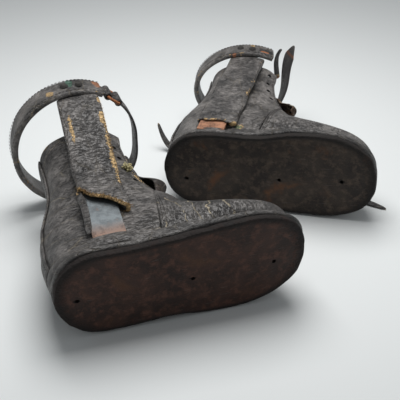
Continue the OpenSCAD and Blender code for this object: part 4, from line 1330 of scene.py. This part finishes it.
class BOOTS_OT_uppers(bpy.types.Operator):
    """Make the vamps, quarters and back stays"""
    bl_idname = "boots.uppers"
    bl_label = "Vamps, quarters and back stays"
    bl_options = {"REGISTER", "UNDO"}

    def execute(self, context):
        for boot in BOOTS:
            side = boot.side
            shape, marks, dark = vamp_shape(boot)
            piece(side + "_vamp_leather", boot, shape, "vamp_" + side, replaces=(side + "_vamp",),
                  marks=marks, soot=dark)
            for way, name in ((-1, "outer"), (1, "inner")):
                shape, marks = quarter_shape(boot, way)
                obj = piece(f"{side}_quarter_{name}_leather", boot, shape, "quarter_" + side,
                            replaces=(f"{side}_quarter_{name}",), marks=marks)
                for z in EYELET_HEIGHTS:
                    a = way * (float(boot.gap_a(z)) + EYELET_INSET)
                    c, n = boot.skin(a, z, 1.0), boot.skin(a, z, -3.0)
                    drilled(obj, [boot.world(c) / 1000], Vector(boot.vec(n - c)), radius=0.0017, length=0.008)
            shape, a, z = sheet_shape(boot, 18.8, boot.shaft_top - 1.5, lambda z: 166 + 0 * z,
                                      lambda z: 194 + 0 * z, -1.6, -0.35, 110, 24)
            piece(side + "_backstay_leather", boot, shape, "quarter_" + side, replaces=(side + "_backstay",))
        return {"FINISHED"}


class BOOTS_OT_tongues(bpy.types.Operator):
    """Make the crumpled tongues"""
    bl_idname = "boots.tongues"
    bl_label = "Tongues"
    bl_options = {"REGISTER", "UNDO"}

    def execute(self, context):
        for boot, top, crumple, finish, swell, lump in (
                (RIGHT, 126, 0.8, "tongue_dark", 12.0, (91.0, -9.0)),
                (LEFT, 104, 2.4, "tongue_brown", 11.5, (85.5, 15.0))):
            shape, a, z = sheet_shape(boot, 80.8, top, lambda z: 5 - along(GAP_LINE, z),
                                      lambda z: along(GAP_LINE, z) - 5,
                                      -0.5, 1.0, 80, 60, crumple, 61, swell, lump)
            tan = 0.55 * bell(z, top, 1.5) + 0.3 * smooth(lumps(boot.upper(a, z, 0), 6, 63))
            piece(boot.side + "_tongue_leather", boot, shape, finish, body=boot.side + "_tongue_flap",
                  replaces=(boot.side + "_tongue",),
                  marks=(tan.reshape(-1)[shape[2]], 0.0, 0.0))
        return {"FINISHED"}


class BOOTS_OT_sleeves(bpy.types.Operator):
    """Make the leather sleeves of the uprights"""
    bl_idname = "boots.sleeves"
    bl_label = "Sleeves"
    bl_options = {"REGISTER", "UNDO"}

    def execute(self, context):
        for boot in BOOTS:
            for way, name in ((-1, "outer"), (1, "inner")):
                cut = LEFT_CUT if boot.side == "left" else TORN_CUT if way < 0 else WHOLE_CUT
                shape, marks, dark, lay, _ = sleeve_shape(boot, way, *cut)
                piece(f"{boot.side}_sleeve_{name}_leather", boot, shape, "sleeve",
                      replaces=(f"{boot.side}_sleeve_{name}",),
                      marks=marks, soot=dark, lay=lay)
        boot = RIGHT
        z = np.linspace(24, 73, 60)
        x = -12.2 + 1.2 * np.sin((z - 24) / 16)
        lift = 2.0 + 0.8 * np.sin((z - 20) / 12)
        path = boot.upright(x, -(boot.bar_y(z, -1) + lift), z)
        ahead = unit(np.gradient(path, axis=0))
        across = unit(np.tile(np.array((1.0, -0.35, 0)), (60, 1)))
        shape, place, face = ribbon(path, across, unit(np.cross(ahead, across)),
                                    np.interp(z, (24, 30, 60, 73), (3.0, 4.4, 5.0, 3.6)), np.full(60, 1.3))
        piece("right_sleeve_loose_edge", boot, shape, "sleeve",
              marks=(0.6 * bell(place, 0.95, 0.08) + 0.3 * (face > 0.8), 0.0, 0.0), soot=0.35 * (face < 0.3))
        return {"FINISHED"}


class BOOTS_OT_bands(bpy.types.Operator):
    """Make the leather covers of the calf bands"""
    bl_idname = "boots.bands"
    bl_label = "Band covers"
    bl_options = {"REGISTER", "UNDO"}

    def execute(self, context):
        for boot in BOOTS:
            shape, marks, dark, lay = cover_shape(boot)
            piece(boot.side + "_band_leather", boot, shape, "band_black",
                  replaces=(boot.side + "_band_cover",), marks=marks, soot=dark, lay=lay)
        return {"FINISHED"}


class BOOTS_OT_straps(bpy.types.Operator):
    """Make the closing straps, their iron loops, the short tab and the ankle strap"""
    bl_idname = "boots.straps"
    bl_label = "Straps and loops"
    bl_options = {"REGISTER", "UNDO"}

    def execute(self, context):
        for boot in BOOTS:
            body = boot.side + "_strap"
            piece(boot.side + "_loop_iron", boot, loop_shape(boot), "rusted_loops", body=body,
                  replaces=(boot.side + "_loop",))
            shape, marks, dark = closing_strap_shape(boot)
            piece(boot.side + "_strap_leather", boot, shape, "strap_black", body=body,
                  replaces=(boot.side + "_closing_strap",), marks=marks, soot=dark)
        shape, marks, dark = short_tab_shape(LEFT)
        piece("left_tab_leather", LEFT, shape, "strap_black", replaces=("left_short_tab",),
              marks=marks, soot=dark)
        for rear, node, body in ((False, "left_ankle_strap_front", "ankle_strap_long_end"),
                                 (True, "left_ankle_strap_rear", "ankle_strap_short_end")):
            shape, marks, dark = ankle_strap_shape(rear)
            piece(node + "_leather", None, shape, "strap_black", body=body, replaces=(node,),
                  marks=marks, soot=dark)
        return {"FINISHED"}


class BOOTS_OT_fittings(bpy.types.Operator):
    """Finish the uprights, bands, rivets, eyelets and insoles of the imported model"""
    bl_idname = "boots.fittings"
    bl_label = "Steel, rivets, eyelets and insoles"
    bl_options = {"REGISTER", "UNDO"}

    def execute(self, context):
        finishes = {"insole": "insole_dark", "calf_band": "rusted_loops", "band_rivets": "dull_rivets",
                    "eyelets": "crusted_eyelets", "ankle_rivet": "dull_rivets"}
        for name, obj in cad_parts.items():
            side, kind = name.split("_", 1)
            finish = "steel_" + side if kind == "stirrup" else finishes.get(kind)
            if finish:
                obj.data.materials.clear()
                obj.data.materials.append(bpy.data.materials[finish])
        return {"FINISHED"}


class BOOTS_OT_stitches(bpy.types.Operator):
    """Sew the seams"""
    bl_idname = "boots.stitches"
    bl_label = "Stitches"
    bl_options = {"REGISTER", "UNDO"}

    def execute(self, context):
        sizes = context.scene.boot_sizes
        tree = stitch_tree()
        inputs = {"Pitch": sizes.stitch_pitch, "Stitch Length": sizes.stitch_length,
                  "Thickness": sizes.thread, "Thread": bpy.data.materials["waxed_thread"]}
        for boot in BOOTS:
            paths = []
            z = np.linspace(20, 76, 60)
            for way in (-1, 1):
                for inset in (1.6, 3.4):
                    paths.append(seam_row(boot, way * (boot.seam_a(z) - inset * 0.9), z, -0.1))
                top = np.linspace(22, boot.shaft_top - 4, 90)
                paths.append(seam_row(boot, way * 168.2 + 0 * top, top, -1.65))
                edge = np.linspace(84, boot.shaft_top - 4, 50)
                paths.append(seam_row(boot, way * (boot.edge_a(edge) + 6), edge, -0.7))
                cut = TORN_CUT if (boot.side, way) == ("right", -1) else WHOLE_CUT
                x, y, dent, low, high = sleeve_shape(boot, way, *cut)[-1]
                for k in (7, 41):
                    z0 = float(low[0, k]) + 3
                    zz = np.linspace(z0, high - 3, 100)
                    dd = np.interp(zz, mix(low, high, np.linspace(0, 1, SLEEVE_ALONG)[:, None])[:, k],
                                   dent[:, k])
                    seat = boot.bar_y(zz, way) + y[0, k] + dd + 0.02
                    line = boot.upright(x[0, k], way * seat, zz)
                    paths.append((boot.world(line), np.tile(boot.vec((0, way, 0)), (100, 1))))
            t = np.linspace(boot.band_start + 4, 297, 220)
            for h in (8.1, -7.4):
                line = boot.band_middle(t, 2.55 + 0 * t, h + 0 * t)
                above = boot.band_middle(t, 3.55 + 0 * t, h + 0 * t)
                paths.append((boot.world(line), boot.vec(above - line)))
            grown(boot.side + "_stitches", tree, paths, inputs, boot.body)
        return {"FINISHED"}


class BOOTS_OT_frays(bpy.types.Operator):
    """Grow the torn fibres and the crust"""
    bl_idname = "boots.frays"
    bl_label = "Frayed edges and crust"
    bl_options = {"REGISTER", "UNDO"}

    def execute(self, context):
        sizes = context.scene.boot_sizes
        boot = RIGHT
        x, y, dent, low, _ = sleeve_shape(boot, -1, *TORN_CUT)[-1]
        tree = fray_tree()
        fibre = bpy.data.materials["torn_fibre"]
        keep = [k for k in range(SLEEVE_AROUND) if math.sin(2 * math.pi * k / SLEEVE_AROUND) > 0.15]
        bottom = boot.upright(x[0, keep], -(boot.bar_y(low[0, keep], -1) + y[0, keep] + dent[0, keep] - 0.3),
                              low[0, keep] + 0.3)
        down = np.tile(boot.vec((0.1, -0.55, -0.8)), (len(keep), 1))
        zz = np.linspace(86, 150, 60)
        front = boot.upright(17.6, -(boot.bar_y(zz, -1) + 1.2), zz)
        ahead = np.tile(boot.vec((0.9, -0.6, 0)), (60, 1))
        grown("right_sleeve_torn_fibres", tree,
              [(boot.world(bottom), down), (boot.world(bottom) + boot.vec((0, -0.5, 0.6)), down)],
              {"Pitch": 0.00026, "Fibre Length": sizes.fibre, "Fibre Radius": 0.00017, "Spread": 0.75,
               "Seed": 4, "Fibre": fibre}, boot.body)
        grown("right_sleeve_worn_edge", tree, [(boot.world(front), ahead)],
              {"Pitch": 0.0005, "Fibre Length": 0.5 * sizes.fibre, "Fibre Radius": 0.00016, "Spread": 1.0,
               "Seed": 9, "Fibre": fibre}, boot.body)
        chance = np.random.default_rng(7)
        z = EYELET_HEIGHTS[1]
        a = -(boot.gap_a(z) + EYELET_INSET)
        centre = boot.world(boot.skin(a, z, -1.6))
        spots = centre + chance.normal(0, 1, (150, 3)) * 1.7
        grown("right_eyelet_crust", crust_tree(), [(spots, np.tile((0, 0, 1.0), (150, 1)))],
              {"Grain Size": 0.0007, "Seed": 6, "Crust": bpy.data.materials["crust_yellow"]}, boot.body)
        return {"FINISHED"}


class BOOTS_OT_stage(bpy.types.Operator):
    """Set the floor, the lights and the camera"""
    bl_idname = "boots.stage"
    bl_label = "Stage"
    bl_options = {"REGISTER", "UNDO"}

    def execute(self, context):
        tones = context.scene.boot_colours
        scene = bpy.context.scene
        floor_finish("pale_floor", colour(tones.floor))
        bpy.ops.mesh.primitive_plane_add(size=8, location=(0, 0, -0.0002))
        floor = bpy.context.active_object
        floor.name = "floor"
        floor.data.materials.append(bpy.data.materials["pale_floor"])
        floor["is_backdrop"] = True
        world = scene.world or bpy.data.worlds.new("studio")
        scene.world = world
        world.use_nodes = True
        back = world.node_tree.nodes["Background"]
        back.inputs["Color"].default_value = (0.93, 0.97, 1.0, 1)
        back.inputs["Strength"].default_value = 0.25
        for name, place, aim, size, power in (("overhead", (-0.01, 0.09, 0.55), (0.0, 0.05, 0), 0.40, 3.3),
                                              ("front", (0.5, -1.3, 0.9), (0, 0, 0.03), 0.9, 0.7)):
            data = bpy.data.lights.new(name, "AREA")
            data.shape, data.size, data.energy = "SQUARE", size, power
            lamp = bpy.data.objects.new(name, data)
            scene.collection.objects.link(lamp)
            lamp.location = place
            lamp.rotation_euler = (Vector(aim) - Vector(place)).to_track_quat("-Z", "Y").to_euler()
        lens = bpy.data.cameras.new("camera")
        lens.lens, lens.sensor_width = 71.41, 36.0
        camera = bpy.data.objects.new("camera", lens)
        scene.collection.objects.link(camera)
        tilt, far = math.radians(31.74), 0.64937
        camera.location = (ROW_SHIFT[0] / 1000, ROW_SHIFT[1] / 1000 - far * math.cos(tilt),
                           far * math.sin(tilt))
        camera.rotation_euler = (math.pi / 2 - tilt, 0, 0)
        scene.camera = camera
        scene.view_settings.view_transform = "Standard"
        return {"FINISHED"}


STEPS = (BOOTS_OT_stage, BOOTS_OT_finishes, BOOTS_OT_soles, BOOTS_OT_uppers, BOOTS_OT_tongues,
         BOOTS_OT_sleeves,
         BOOTS_OT_bands, BOOTS_OT_straps, BOOTS_OT_fittings, BOOTS_OT_stitches, BOOTS_OT_frays)


class BOOTS_PT_panel(bpy.types.Panel):
    """Lists the steps and the settings"""
    bl_idname = "BOOTS_PT_panel"
    bl_label = "Boots"
    bl_space_type = "VIEW_3D"
    bl_region_type = "UI"
    bl_category = "Boots"

    def draw(self, context):
        for step in STEPS:
            self.layout.operator(step.bl_idname)
        for group in (context.scene.boot_sizes, context.scene.boot_colours):
            for name in group.bl_rna.properties.keys():
                if name not in {"rna_type", "name"}:
                    self.layout.prop(group, name)


CLASSES = (BootSizes, BootColours) + STEPS + (BOOTS_PT_panel,)


def register():
    for cls in CLASSES:
        bpy.utils.register_class(cls)
    bpy.types.Scene.boot_sizes = bpy.props.PointerProperty(type=BootSizes)
    bpy.types.Scene.boot_colours = bpy.props.PointerProperty(type=BootColours)


def unregister():
    del bpy.types.Scene.boot_colours
    del bpy.types.Scene.boot_sizes
    for cls in reversed(CLASSES):
        bpy.utils.unregister_class(cls)


def corners():
    low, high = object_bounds()
    return [[float(v) for v in low], [float(v) for v in high]]


def main():
    register()
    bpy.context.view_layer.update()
    for step in STEPS:
        space, action = step.bl_idname.split(".")
        getattr(getattr(bpy.ops, space), action)()


if __name__ == "__main__":
    main()
